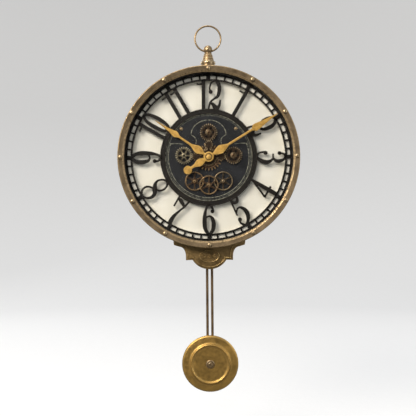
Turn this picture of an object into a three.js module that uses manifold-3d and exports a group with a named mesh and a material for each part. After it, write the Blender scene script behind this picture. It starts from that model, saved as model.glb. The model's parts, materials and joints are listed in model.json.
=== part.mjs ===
// Pendulum wall clock: a round drum case with a riveted bezel, a skeleton dial over a disc of turning
// gears, a battery movement and a two-rod pendulum. Millimetres, +Z up, the front faces -Y and the wall
// is the plane y = 0. Every piece is drawn about the hands' axis, and the whole group is then moved so
// that the origin lies on the wall hanger, where the screw in the wall carries the clock.
import * as THREE from "three";
import { mergeVertices } from "three/addons/utils/BufferGeometryUtils.js";
import Module from "manifold-3d";

const wasm = await Module();
wasm.setup();

// ---- Clearances ------------------------------------------------------------------------------------
const GAP = 0.3; // between faces that rest on each other
const RUN = 0.4; // radial, between a turning piece and what it turns on
const FACETS = 40; // sides of a large round piece
const FINE = 16; // sides of a small round piece

// ---- Case ------------------------------------------------------------------------------------------
const BEZEL_R = 136;
const BEZEL_BAND = 11.3; // from the rim to the sight opening
const BEZEL_PLATE = 2.5;
const BEZEL_SKIRT = 0.9;
const BEZEL_SKIRT_DEPTH = 12;
const BEZEL_LIP = 1.5; // thin step round the sight opening
const RIVETS = 12;
const RIVET_INSET = 4.5; // rivet circle inside the rim
const RIVET_HEAD_R = 3.3;
const RIVET_HEAD_H = 1.9;
const RIVET_SHANK_R = 1.2;
const RIVET_DRILL_L = 8; // from the bezel front through the drum flange
const CASE_DEPTH = 62; // wall to bezel front
const REAR_STANDOFF = 2; // wall to the rear flange, taken up by the hanger and the bumpers
const DRUM_FLANGE = 5.3; // front flange, outside the drum wall
const DRUM_WALL = 1.5;
const REAR_FLANGE = 12; // inward rear flange
const LEDGE_W = 3.5; // ledge that the dial parts seat on
const GLASS_T = 2;
const SPACER_T = 2.1;

// ---- Dial ------------------------------------------------------------------------------------------
const TRACK_MARGIN = 1.3; // sight opening to the minute windows
const TRACK_H = 5.3; // height of a minute window
const TRACK_RIM = 2.3; // rim between the windows and the numerals
const HOUR_BAR = 3.6; // width of the bar between windows at an hour
const MINUTE_BAR = 1.2;
const PLATE_T = 2;
const DISC_R = 71.8;
const DISC_RIM = 5.8; // inner ring of the chapter plate, over the edge of the gear disc
const DISC_T = 1.4;
const GEAR_ROOM = 5.1; // between the dial panel and the gear disc
const PANEL_T = 1.2;
const DISC_SCREW_R = 59.8;
const DISC_SCREW_ANGLE = 43.5; // each side of twelve o'clock, in degrees
const DISC_SCREW_SHANK_R = 1.3;
const DISC_SCREW_HEAD_R = 2.6;
const NUMERAL_H = 44; // height that the glyph outlines below are drawn at

// ---- Gears -----------------------------------------------------------------------------------------
const FRONT_MODULE = 1.04; // gears in front of the disc
const REAR_MODULE = 1.4; // gears hidden behind the disc
const PINION_TEETH = 24; // centre pinion
const IDLER_TEETH = 12;
const WHEEL_TEETH = 24; // top, left and right wheels
const CENTRE_TEETH = 24; // show wheel under the centre pinion, which meshes with nothing
const CENTRE_MODULE = 1.6; // its teeth are coarser than those of the gears that mesh
const DRIVE_TEETH = 46;
const LOWER_TEETH = 14;
const MOTOR_TEETH = 8;
const SIDE_LIFT = 4; // side wheels above the level of the hands' axis, in degrees
const LOWER_SPREAD = 31; // between the lower wheels, seen from the hands' axis, in degrees
const ADDENDUM = 0.8; // tooth height above and below the pitch circle, in modules
const DEDENDUM = 1.05;
const TIP_HALF = 0.1; // half widths of a tooth, as shares of the pitch
const ROOT_HALF = 0.28;
const LOWER_WHEEL_R = 14.5;
const LOWER_RIM = 2.2;
const LOWER_HUB_R = 3;
const SPOKE_HALF = 0.9;
const FRONT_GEAR_T = 1.4;
const REAR_GEAR_T = 1.8;
const WHEEL_HOLES = 6;
const WHEEL_HOLE_R = 1.7;
const WHEEL_HOLE_CIRCLE = 6.6;
const WHEEL_HUB_R = 3.4;
const STUD_R = 1.2;
const ARBOR_R = 1.5; // of a lower wheel
const ARBOR_PIVOT_R = 1;
const MOTOR_SHAFT_R = 1;
const SLEEVE_R = 6.2; // sleeve of the centre wheel, round the hand bush
const BRIDGE_T = 0.9; // idler bridge
const BRIDGE_ARM_HALF = 1.3;
const BRIDGE_BOSS_R = 2.2;

// ---- Hands -----------------------------------------------------------------------------------------
const REST_MINUTES = 9.7; // the hands stand at nine minutes and forty seconds past ten
const REST_HOURS = 10;
const HAND_T = 1.2;
const HOUR_HAND_LIFT = 3.6; // chapter ring front to hour hand back
const MINUTE_HAND_LIFT = 6.6;
const MINUTE_HAND_L = 120.5;
const HOUR_HAND_L = 95.2;
const HUB_CAP_R = 7.7;
const HUB_BOSS_R = 6.5; // round the axis of each hand
const HUB_CAP_T = 1;
const HUB_NUT_R = 3.6;
const HUB_NUT_T = 1.3;
const TAIL_L = 37; // hands' axis to the ball of the minute hand's tail
const TAIL_BALL_R = 6.3;
const GLASS_ROOM = 1.8; // hub nut to the glass
const HOUR_PIPE_R = 2.5;
const MINUTE_ARBOR_R = 1.4;

// ---- Movement --------------------------------------------------------------------------------------
const MOVEMENT_W = 56;
const MOVEMENT_TOP = 17; // above the hands' axis
const MOVEMENT_H = 85;
const MOVEMENT_D = 22;
const MOVEMENT_WALL = 1.8;
const LID_T = 1.6;
const BUSH_R = 4;
const BUSH_NUT_R = 7;
const BUSH_NUT_T = 1.8;
const BATTERY_R = 7.1;
const BATTERY_L = 49.2;
const BATTERY_TIP_R = 2.7;
const BATTERY_TIP_L = 1.3;
const MOTOR_BOX = [34, 30, 17]; // width, height and depth of the gear motor
const MOTOR_LIFT = 3; // least gap between the movement and the motor
const KNOB_R = 6;
const KNOB_GRIP_T = 3.4;
const KNOB_STEM_R = 2;
const KNOB_AT = [-16, 4];

// ---- Pendulum --------------------------------------------------------------------------------------
const PIVOT_DROP = 8; // pivot below the hands' axis
const PIVOT_PIN_R = 1.5;
const PENDULUM_BEHIND = 3.5; // movement back to the plane of the rods
const HOOK_DROP = 77; // eye of the leader below the hands' axis
const STRAP_T = 2;
const STRAP_HALF_W = 3;
const EYE_R = 4.2; // round the pivot
const LEADER_FOOT_R = 5; // round the lower eye
const LEADER_EYE_R = 2.7;
const MAGNET_R = 4;
const MAGNET_T = 1.3;
const MAGNET_DROP = 26; // below the pivot
const BRIDGE_DROP = 8; // rod bridge below the lower eye
const BRIDGE_H = 9;
const BRIDGE_HALF_W = 7.4;
const BRIDGE_HALF_D = 2.6;
const HOOK_WIRE_R = 0.75;
const ROD_R = 2.1;
const ROD_SPACING = 7.6;
const ROD_SEAT = 2; // solid end of the bridge above the rods
const ROD_REACH = 0.55; // ends of the rods below the bob's centre, as a share of its radius
const BOB_DROP = 318.8; // bob centre below the hands' axis
const BOB_R = 43.9;
const BOB_STEP_R = 29.4;
const BOB_DEPTH = 14; // back of the pan to the front of the step
const BOB_SHEET = 1.5;
const BOB_SCREW_R = 1.3;
const BOB_HEAD_R = 6.8;
const BOB_HEAD_H = 2.4;
const SWING = 6; // degrees to each side
const SWING_ROOM = 3;

// ---- Pendant and bow ring --------------------------------------------------------------------------
const PENDANT_Y = -30;
const SPIGOT_R = 3; // through the drum wall
const FOOT_R = 11.5;
const FOOT_H = 15.2; // above the drum
const NECK_R = 5.1;
const BALL_R = 6.8;
const BALL_LIFT = 36; // ball centre above the drum
const RING_R = 19.7; // bow ring, to the middle of its wire
const RING_WIRE_R = 1.3;
const RING_HOLE_R = 2.6;
const RING_HOLE_DROP = 2.9; // hole below the ball centre

// ---- Apron and hanger ------------------------------------------------------------------------------
const APRON_Y = -38; // back of the apron
const APRON_T = 4;
const APRON_HALF_W = 54.4;
const CARTOUCHE = [15.2, 9.1]; // half width and half height
const CARTOUCHE_LIFT = 19.9; // centre above the lowest point
const CARTOUCHE_T = 1.2;
const APRON_DROP = 39.9; // lowest point below the drum
const HANGER_W = 40;
const HANGER_H = 38;
const HANGER_TOP = 20; // wall screw to the top edge
const HANGER_T = 1.7;
const HANGER_LAND = 9; // wall screw to the middle of the land above it
const SCREW_HEAD_R = 5;
const SCREW_SLOT_R = 2.4;
const SCREW_RUN = 6; // from the head's hole up to the slot's end
const HANGER_PIN_R = 1.6;
const HANGER_PIN_X = 14;
const HANGER_PIN_RISE = 3.5; // pins above the bore of the rear flange
const BUMPER_R = 5;
const BUMPER_SPREAD = 38; // each side of six o'clock, in degrees

// ---- Places worked out from the sizes --------------------------------------------------------------
const bezelFrontY = -CASE_DEPTH;
const bezelBackY = bezelFrontY + BEZEL_PLATE;
const glassFrontY = bezelBackY + GAP;
const glassBackY = glassFrontY + GLASS_T;
const handRoom = MINUTE_HAND_LIFT + HAND_T + GAP + HUB_CAP_T + HUB_NUT_T + GLASS_ROOM;
const plateFrontY = glassBackY + handRoom;
const plateBackY = plateFrontY + PLATE_T;
const discFrontY = plateBackY + GAP;
const discBackY = discFrontY + DISC_T;
const panelFrontY = discBackY + GEAR_ROOM;
const panelBackY = panelFrontY + PANEL_T;
const movementFrontY = panelBackY + GAP;
const movementBackY = movementFrontY + MOVEMENT_D;
const rodY = movementBackY + PENDULUM_BEHIND;
const strapBackY = rodY + STRAP_T / 2;
const rearFlangeY = -REAR_STANDOFF;
const openingR = BEZEL_R - BEZEL_BAND;
const rivetCircleR = BEZEL_R - RIVET_INSET;
const flangeR = BEZEL_R - BEZEL_SKIRT - GAP;
const drumR = flangeR - DRUM_FLANGE;
const boreR = drumR - DRUM_WALL;
const seatR = boreR - GAP;
const flangeBoreR = boreR - REAR_FLANGE;
const trackOutR = openingR - TRACK_MARGIN;
const trackInR = trackOutR - TRACK_H;
const chapterInR = trackInR - TRACK_RIM;
const frontLayerY = plateFrontY - GAP; // back of the idlers and of the top, left and right wheels
const showLayerY = discFrontY - 3 * GAP; // back of the centre show wheel and of the outer lower wheels
const rearLayerY = panelFrontY - BUSH_NUT_T - 2 * GAP - 0.2; // back of the gears behind the disc
const sleeveFrontY = frontLayerY - FRONT_GEAR_T - 0.2;
const frontReach = (teeth) => (teeth * FRONT_MODULE) / 2;
const idlerReach = frontReach(PINION_TEETH + IDLER_TEETH);
const wheelReach = idlerReach + frontReach(IDLER_TEETH + WHEEL_TEETH);
const lowerReach = ((DRIVE_TEETH + LOWER_TEETH) * REAR_MODULE) / 2;
const motorReach = ((DRIVE_TEETH + MOTOR_TEETH) * REAR_MODULE) / 2;
const sleeveBoreR = BUSH_R + RUN;
const hangerScrewZ = flangeBoreR - SCREW_HEAD_R - 4;
const hangerPinZ = flangeBoreR + HANGER_PIN_RISE;
const mountZ = hangerScrewZ + HANGER_LAND;
const holeZ = drumR + BALL_LIFT - RING_HOLE_DROP;
const wheelAngles = [0, -90 + SIDE_LIFT, 90 - SIDE_LIFT]; // top, left, right, clockwise from twelve
const lowerAngles = [180 + LOWER_SPREAD, 180, 180 - LOWER_SPREAD]; // left, middle, right
const sideNames = ["top", "left", "right"];
const lowerNames = ["left", "middle", "right"];

const TURN = 2 * Math.PI;
const rad = (degrees) => (degrees * Math.PI) / 180;
const clockwise = (degrees, r) =>
  new THREE.Vector2(r * Math.sin(rad(degrees)), r * Math.cos(rad(degrees)));

// ---- Solids ----------------------------------------------------------------------------------------
// A three.js geometry as a manifold-3d solid whose faces point out.
function solid(geometry) {
  const bare = geometry.clone();
  bare.deleteAttribute("normal");
  bare.deleteAttribute("uv");
  const merged = mergeVertices(bare, 1e-4);
  const index = Array.from(merged.index.array);
  const kept = [];
  for (let i = 0; i < index.length; i += 3) {
    const [a, b, c] = index.slice(i, i + 3);
    if (a !== b && b !== c && c !== a) kept.push(a, b, c);
  }
  const build = (triangles) =>
    new wasm.Manifold(
      new wasm.Mesh({
        numProp: 3,
        vertProperties: new Float32Array(merged.attributes.position.array),
        triVerts: new Uint32Array(triangles),
      }),
    );
  const made = build(kept);
  return made.volume() > 0 ? made : build(kept.reverse());
}

const joined = (first, ...others) => others.reduce((whole, s) => whole.add(s), first);
const cut = (first, ...others) => others.reduce((whole, s) => whole.subtract(s), first);

// A flat outline, drawn as seen from the front, from its back face at y towards the front.
function plate(shape, y, thickness, curveSegments = 8) {
  const g = new THREE.ExtrudeGeometry(shape, { depth: thickness, bevelEnabled: false, curveSegments });
  return solid(g.rotateX(Math.PI / 2).translate(0, y, 0));
}

// A profile of [radius, y] turned about the axis through (x, z), square to the dial.
function turned(profile, sides, x = 0, z = 0) {
  const points = profile.map(([r, y]) => new THREE.Vector2(r, y));
  return solid(new THREE.LatheGeometry(points, sides).translate(x, 0, z));
}

// A profile of [radius, z] turned about the upright axis through (x, y).
function turnedUpright(profile, sides, x, y) {
  const points = profile.map(([r, h]) => new THREE.Vector2(r, h));
  return solid(new THREE.LatheGeometry(points, sides).rotateX(Math.PI / 2).translate(x, y, 0));
}

// A round bar along the upright axis through (x, y), from z1 to z2.
const upright = (r, z1, z2, x, y, sides) =>
  turnedUpright([[0, z1], [r, z1], [r, z2], [0, z2]], sides, x, y);

// A round bar square to the dial, from y1 to y2.
const bar = (r, y1, y2, x = 0, z = 0, sides = FINE) =>
  turned([[0, y1], [r, y1], [r, y2], [0, y2]], sides, x, z);

// A drill square to the dial, right through the case.
const drill = (r, x = 0, z = 0, sides = FINE) => bar(r, 1, -CASE_DEPTH - 1, x, z, sides);

// A round washer square to the dial.
const washer = (r, bore, y1, y2, sides, x = 0, z = 0) =>
  turned([[bore, y1], [r, y1], [r, y2], [bore, y2], [bore, y1]], sides, x, z);

function block(x1, x2, y1, y2, z1, z2) {
  const g = new THREE.BoxGeometry(x2 - x1, Math.abs(y2 - y1), z2 - z1);
  return solid(g.translate((x1 + x2) / 2, (y1 + y2) / 2, (z1 + z2) / 2));
}

function polygon(points) {
  return new THREE.Shape(points.map(([x, z]) => new THREE.Vector2(x, z)));
}

function circlePath(x, z, r) {
  const path = new THREE.Path();
  path.absarc(x, z, r, 0, TURN, true);
  return path;
}

const clock = new THREE.Group();
clock.position.set(0, 0, -mountZ);

function addPiece(name, whole, color, roughness, metalness) {
  const data = whole.getMesh();
  const positions = new Float32Array(data.numVert * 3);
  for (let i = 0; i < data.numVert; i++) {
    positions.set(data.vertProperties.subarray(i * data.numProp, i * data.numProp + 3), i * 3);
  }
  const g = new THREE.BufferGeometry();
  g.setAttribute("position", new THREE.BufferAttribute(positions, 3));
  g.setIndex(new THREE.BufferAttribute(data.triVerts, 1));
  g.computeVertexNormals();
  const mesh = new THREE.Mesh(g, new THREE.MeshStandardMaterial({ color, roughness, metalness }));
  mesh.name = name;
  clock.add(mesh);
}

// ---- Finishes: colour, roughness, metalness --------------------------------------------------------
const bronze = [0x6e573a, 0.45, 0.9];
const brass = [0xc8a76a, 0.35, 1];
const blackPaint = [0x1f1c18, 0.6, 0.2];
const cream = [0xefe9d6, 0.7, 0];
const darkBronze = [0x4a3a2c, 0.5, 0.8];
const paleBrass = [0x7a6f5a, 0.45, 0.85];
const gold = [0xd9a441, 0.45, 0.6];
const blackPlastic = [0x202022, 0.55, 0];

// ---- Case ------------------------------------------------------------------------------------------
function makeCase() {
  const rivetSeats = Array.from({ length: RIVETS }, (_, i) => {
    const at = clockwise((360 / RIVETS) * i, rivetCircleR);
    const end = bezelFrontY + RIVET_DRILL_L;
    return { at, hole: bar(RIVET_SHANK_R + GAP, bezelFrontY - 1, end, at.x, at.y, 6) };
  });
  const rivetHoles = rivetSeats.map((seat) => seat.hole);

  const drumFrontY = bezelBackY + GAP;
  const shell = turned(
    [
      [flangeBoreR, rearFlangeY],
      [drumR, rearFlangeY],
      [drumR, drumFrontY + DRUM_WALL],
      [flangeR, drumFrontY + DRUM_WALL],
      [flangeR, drumFrontY],
      [boreR, drumFrontY],
      [boreR, plateBackY + GAP],
      [boreR - LEDGE_W, plateBackY + GAP],
      [boreR - LEDGE_W, panelFrontY - GAP],
      [boreR, panelFrontY - GAP],
      [boreR, rearFlangeY - DRUM_WALL],
      [flangeBoreR, rearFlangeY - DRUM_WALL],
      [flangeBoreR, rearFlangeY],
    ],
    FACETS,
  );
  // The rods swing through a notch in the rear of the drum.
  const reach = (drumR - PIVOT_DROP) * Math.tan(rad(SWING));
  const notchHalf = reach + ROD_SPACING / 2 + ROD_R + SWING_ROOM;
  const notchFront = rodY - ROD_R - SWING_ROOM;
  const notch = block(-notchHalf, notchHalf, notchFront, 1, -drumR - 1, -flangeBoreR + 8);
  const spigotHole = upright(SPIGOT_R + RUN, boreR - 5, drumR + 5, 0, PENDANT_Y, 12);
  const pinHoles = [-1, 1].map((side) =>
    bar(HANGER_PIN_R + GAP, rearFlangeY - DRUM_WALL - 1, 1, side * HANGER_PIN_X, hangerPinZ, 12),
  );
  addPiece("case_drum", cut(shell, notch, spigotHole, ...pinHoles, ...rivetHoles), ...bronze);

  const lipR = openingR + BEZEL_LIP;
  const bezel = turned(
    [
      [openingR, bezelBackY],
      [openingR, bezelFrontY + 1],
      [lipR, bezelFrontY + 0.7],
      [lipR + 0.8, bezelFrontY],
      [BEZEL_R - 1, bezelFrontY],
      [BEZEL_R, bezelFrontY + 1],
      [BEZEL_R, bezelFrontY + BEZEL_SKIRT_DEPTH],
      [BEZEL_R - BEZEL_SKIRT, bezelFrontY + BEZEL_SKIRT_DEPTH],
      [BEZEL_R - BEZEL_SKIRT, bezelBackY],
      [openingR, bezelBackY],
    ],
    FACETS,
  );
  addPiece("bezel_ring", cut(bezel, ...rivetHoles), ...bronze);

  rivetSeats.forEach(({ at }, i) => {
    const seat = bezelFrontY - GAP;
    const rivet = turned(
      [
        [0, seat - RIVET_HEAD_H],
        [RIVET_HEAD_R * 0.6, seat - RIVET_HEAD_H * 0.8],
        [RIVET_HEAD_R, seat],
        [RIVET_SHANK_R, seat],
        [RIVET_SHANK_R, drumFrontY + DRUM_WALL],
        [0, drumFrontY + DRUM_WALL],
      ],
      8,
      at.x,
      at.y,
    );
    addPiece(`bezel_rivet_${String(i + 1).padStart(2, "0")}`, rivet, ...brass);
  });

  addPiece("glass_lens", bar(seatR, glassBackY, glassFrontY, 0, 0, FACETS), 0xdfe8ea, 0.03, 0);
  const spacer = washer(seatR, seatR - SPACER_T, plateFrontY - GAP, glassBackY + GAP, FACETS);
  addPiece("lens_spacer", spacer, ...blackPaint);
}

// ---- Hanger and bumpers ----------------------------------------------------------------------------
function makeWallFittings() {
  const top = hangerScrewZ + HANGER_TOP;
  const outline = polygon([
    [-HANGER_W / 2, top - HANGER_H],
    [HANGER_W / 2, top - HANGER_H],
    [HANGER_W / 2, top],
    [-HANGER_W / 2, top],
  ]);
  const keyhole = joined(
    drill(SCREW_HEAD_R, 0, hangerScrewZ - SCREW_RUN),
    drill(SCREW_SLOT_R, 0, hangerScrewZ, 12),
    block(-SCREW_SLOT_R, SCREW_SLOT_R, -2 * HANGER_T, 1, hangerScrewZ - SCREW_RUN, hangerScrewZ),
  );
  const pins = [-1, 1].map((side) =>
    bar(HANGER_PIN_R, -HANGER_T / 2, rearFlangeY - DRUM_WALL, side * HANGER_PIN_X, hangerPinZ, 12),
  );
  const hanger = joined(cut(plate(outline, 0, HANGER_T), keyhole), ...pins);
  addPiece("wall_hanger", hanger, 0xa8a49a, 0.4, 0.9);

  for (const [side, name] of [[-1, "left"], [1, "right"]]) {
    const at = clockwise(180 - side * BUMPER_SPREAD, (boreR + flangeBoreR) / 2);
    addPiece(`wall_bumper_${name}`, bar(BUMPER_R, 0, -HANGER_T, at.x, at.y), 0x2b2b2b, 0.9, 0);
  }
}

// ---- Dial ------------------------------------------------------------------------------------------
// Strokes are lists of [across, up, width] about the middle of a numeral; balls are [across, up, radius].
const SIX = {
  strokes: [
    [[5.4, 14, 2.6], [4.6, 19.2, 2.6], [-0.6, 23.6, 3.4], [-4.8, 16.5, 2.6], [-6.6, 6, 4.6],
      [-6.9, -6, 5.4], [-5.6, -15.5, 4.6], [-1.2, -23, 3.4]],
    [[-5, 3.6, 1.6], [0.4, 5.7, 1.9], [4.6, 2.4, 3.8], [6.6, -6, 5.4], [5.6, -15.5, 4.8], [1.2, -23, 3.4]],
  ],
  balls: [[5, 13.4, 2.7]],
};
const GLYPHS = {
  0: {
    strokes: [
      [[-0.6, 23.4, 3], [5, 16.5, 3.4], [6.8, 0, 4.8], [5, -16.5, 3.4], [-0.6, -23.4, 3]],
      [[0.6, 23.4, 3], [-5, 16.5, 3.4], [-6.8, 0, 4.8], [-5, -16.5, 3.4], [0.6, -23.4, 3]],
    ],
  },
  1: {
    strokes: [
      [[0, 24, 4.4], [0, -24, 4.4]],
      [[0, 18, 2.2], [-5, 16.9, 1.8], [-10.2, 16.9, 1.6]],
    ],
  },
  2: {
    strokes: [
      [[-6.6, 5, 2.2], [-7, 12, 1.8], [-4, 19.6, 1.9], [1.2, 22.6, 3.2], [6, 18, 4.2], [7.6, 9.2, 4.8],
        [5.2, -1.9, 3.8], [-1.1, -6.9, 2.1], [-6.4, -12.4, 2.1], [-9.4, -24.5, 1.9]],
      [[-7, -13.4, 2], [-2.5, -15, 3.8], [2.4, -20.8, 6.6], [7, -17.2, 3.4], [8.8, -8.2, 1.5]],
    ],
    balls: [[-5.7, 4.7, 2.8]],
  },
  3: {
    strokes: [
      [[-6, 14, 2.2], [-4.6, 19.6, 2.2], [-0.4, 22.6, 3], [4, 19.4, 3], [6.4, 13, 4.8], [5.6, 7, 3.6],
        [2, 3.2, 1.9]],
      [[2.6, 3, 1.9], [-4.8, 3, 1.7]],
      [[2, 3.4, 1.9], [6.4, -1.5, 3.6], [8.1, -8, 5.6], [5.6, -16, 4.8], [0, -22.8, 3.4], [-6, -19, 2.1],
        [-7.6, -10, 2.2]],
    ],
    balls: [[-5.6, 13.2, 2.7], [-6.1, -9, 2.9]],
  },
  4: {
    strokes: [
      [[2.6, 24, 2.4], [2, 8, 4.6], [1.9, -24, 5]],
      [[3, 22, 1.9], [-10.2, -9.2, 1.9]],
      [[-11, -9.2, 2.1], [8, -9.2, 2.3]],
    ],
  },
  5: {
    strokes: [
      [[-4.4, 24.5, 1.9], [-7.4, -3.6, 1.7]],
      [[-7, 0.4, 1.6], [-2, 5.6, 1.9], [2.9, 5.3, 2.6], [7, -1.5, 4.6], [7.1, -10, 5.2], [2.8, -19, 3.6],
        [-3.6, -22.8, 3], [-8.2, -17, 2.2], [-8, -12, 2.4]],
      [[-5.2, 21.4, 2.8], [-1.4, 16.6, 4.2], [3.4, 16.4, 4], [6.6, 24.5, 2.2]],
    ],
    balls: [[-6.9, -11, 2.9]],
  },
  6: SIX,
  7: {
    strokes: [
      [[-9.2, 24.5, 1.9], [-9.3, 4.5, 1.7]],
      [[-9.2, 19.4, 2.6], [-4.3, 17.5, 5], [1, 14.3, 4], [5.2, 11.4, 2]],
      [[7.8, 24.5, 2.1], [5, 11.5, 2.3], [2.4, 5, 2], [-0.5, -3.7, 3], [-2.4, -12, 4.8], [-2.2, -24, 6]],
    ],
  },
  8: {
    strokes: [
      [[3, -2.6, 5], [-2.6, 1.4, 5.4], [-7, 5.8, 3.4], [-8.3, 11.6, 2.1], [-5.6, 18.6, 2.1], [0, 23, 3.2],
        [5.6, 18.4, 2], [7.5, 12, 2.1], [5.8, 5, 2.2], [1, 0.8, 2]],
      [[-3, 2.4, 5], [2.6, -1.4, 5.4], [7, -5.6, 4.6], [8.2, -12, 3.4], [5, -19, 2.4], [-1.4, -23.2, 3.2],
        [-7.6, -19, 2.1], [-9.6, -12, 2.1], [-7, -5.6, 2.1], [0, -0.4, 2]],
    ],
  },
};
const half = (list) => list.map(([u, v, w]) => [-u, -v, w]);
GLYPHS[9] = { strokes: SIX.strokes.map(half), balls: half(SIX.balls) };

// Each hour's figures with the place of each across the numeral.
const NUMERALS = [
  [[1, 1]], [[2, 0]], [[3, 0]], [[4, 0]], [[5, 0]], [[6, 0]], [[7, 0]], [[8, 0]], [[9, 0]],
  [[1, -7.8], [0, 6.4]], [[1, -7], [1, 7.6]], [[1, -7.3], [2, 9.3]],
];

// The outline of a stroke that widens and narrows along a smooth centre line.
function strokeShape(stops, scale) {
  const line = new THREE.CatmullRomCurve3(stops.map(([u, v, w]) => new THREE.Vector3(u, v * scale, w)));
  const steps = stops.length - 1;
  const left = [];
  const right = [];
  for (let i = 0; i <= steps; i++) {
    const p = line.getPoint(i / steps);
    const t = line.getTangent(i / steps);
    const side = new THREE.Vector2(-t.y, t.x).normalize().multiplyScalar(p.z / 2);
    left.push(new THREE.Vector2(p.x + side.x, p.y + side.y));
    right.unshift(new THREE.Vector2(p.x - side.x, p.y - side.y));
  }
  return new THREE.Shape([...left, ...right]);
}

function numeralSolids(hour) {
  const inward = hour > 3 && hour < 9;
  const scale = (chapterInR - DISC_R) / NUMERAL_H;
  const middle = clockwise(30 * hour, (chapterInR + DISC_R) / 2);
  const angle = -rad(30 * hour) + (inward ? Math.PI : 0);
  const place = ([x, z]) => new THREE.Vector2(x, z).rotateAround(new THREE.Vector2(), angle).add(middle);
  const pieces = [];
  for (const [figure, across] of NUMERALS[hour - 1]) {
    const { strokes, balls = [] } = GLYPHS[figure];
    for (const stroke of strokes) {
      const outline = strokeShape(stroke, scale).getPoints().map((p) => place([p.x + across, p.y]));
      pieces.push(plate(new THREE.Shape(outline), plateBackY, PLATE_T));
    }
    for (const [u, v, r] of balls) {
      const at = place([u + across, v * scale]);
      pieces.push(bar(r, plateBackY, plateFrontY, at.x, at.y, 10));
    }
  }
  return pieces;
}

function makeDial() {
  const rim = new THREE.Shape();
  rim.absarc(0, 0, seatR, 0, TURN, false);
  rim.holes.push(circlePath(0, 0, chapterInR));
  for (let minute = 0; minute < 60; minute++) {
    const before = minute % 5 === 0 ? HOUR_BAR : MINUTE_BAR;
    const after = (minute + 1) % 5 === 0 ? HOUR_BAR : MINUTE_BAR;
    const middleR = (trackInR + trackOutR) / 2;
    const a1 = 6 * minute + (before / 2 / middleR) * (180 / Math.PI);
    const a2 = 6 * (minute + 1) - (after / 2 / middleR) * (180 / Math.PI);
    const corners = [[a1, trackInR], [a1, trackOutR], [a2, trackOutR], [a2, trackInR]];
    rim.holes.push(new THREE.Path(corners.map(([a, r]) => clockwise(a, r))));
  }
  const track = plate(rim, plateBackY, PLATE_T, FACETS / 2);
  const innerRing = washer(DISC_R, DISC_R - DISC_RIM, plateBackY, plateFrontY, FACETS);
  const numerals = Array.from({ length: 12 }, (_, i) => numeralSolids(i + 1)).flat();
  addPiece("chapter_ring", joined(track, innerRing, ...numerals), ...blackPaint);

  const screwAt = [-1, 1].map((side) => clockwise(side * DISC_SCREW_ANGLE, DISC_SCREW_R));
  const lowerAt = lowerAngles.map((a) => clockwise(a, lowerReach));
  const panelHoles = [
    drill(BUSH_R + GAP),
    drill(MOTOR_SHAFT_R + RUN, 0, motorReach, 8),
    ...lowerAt.map((at) => drill(ARBOR_PIVOT_R + RUN, at.x, at.y, 8)),
    ...screwAt.map((at) => drill(DISC_SCREW_SHANK_R + GAP, at.x, at.y, 8)),
  ];
  addPiece("dial_panel", cut(bar(seatR, panelBackY, panelFrontY, 0, 0, FACETS), ...panelHoles), ...cream);

  const discHoles = [
    drill(SLEEVE_R + RUN),
    ...lowerAt.map((at) => drill(ARBOR_R + RUN, at.x, at.y, 12)),
    ...screwAt.map((at) => drill(DISC_SCREW_SHANK_R + GAP, at.x, at.y, 8)),
  ];
  const studs = wheelAngles.map((angle) => {
    const at = clockwise(angle, wheelReach);
    return bar(STUD_R, discFrontY + 0.4, frontLayerY - FRONT_GEAR_T - 1, at.x, at.y, 8);
  });
  const disc = cut(bar(DISC_R - GAP, discBackY, discFrontY, 0, 0, FACETS), ...discHoles);
  addPiece("gear_disc", joined(disc, ...studs), 0x2e2e30, 0.5, 0.3);

  screwAt.forEach((at, i) => {
    const shankR = DISC_SCREW_SHANK_R;
    const head = discFrontY - GAP;
    const end = panelBackY - 0.1;
    const dome = [[0, head - 1.5], [DISC_SCREW_HEAD_R * 0.6, head - 1.1], [DISC_SCREW_HEAD_R, head]];
    const screw = turned([...dome, [shankR, head], [shankR, end], [0, end]], 8, at.x, at.y);
    addPiece(`disc_screw_${i ? "right" : "left"}`, screw, ...brass);
  });
}

// ---- Gears -----------------------------------------------------------------------------------------
// A toothed outline whose first tooth points clockwise by phase degrees from twelve o'clock.
function gearShape(teeth, module, x, z, phase) {
  const pitchR = (teeth * module) / 2;
  const tipR = pitchR + ADDENDUM * module;
  const rootR = pitchR - DEDENDUM * module;
  const pitch = 360 / teeth;
  const points = [];
  for (let k = 0; k < teeth; k++) {
    const a = phase + k * pitch;
    const corners = [[-ROOT_HALF, rootR], [-TIP_HALF, tipR], [TIP_HALF, tipR], [ROOT_HALF, rootR]];
    for (const [share, r] of corners) points.push(clockwise(a + share * pitch, r));
  }
  return new THREE.Shape(points.map((p) => p.add(new THREE.Vector2(x, z))).reverse());
}

// The phase of a gear that meshes with a driver at the given direction from it, both clockwise angles.
function meshPhase(driverTeeth, driverPhase, teeth, direction) {
  const driverShare = ((direction - driverPhase) * driverTeeth) / 360;
  return direction + 180 - ((0.5 - driverShare) * 360) / teeth;
}

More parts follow.
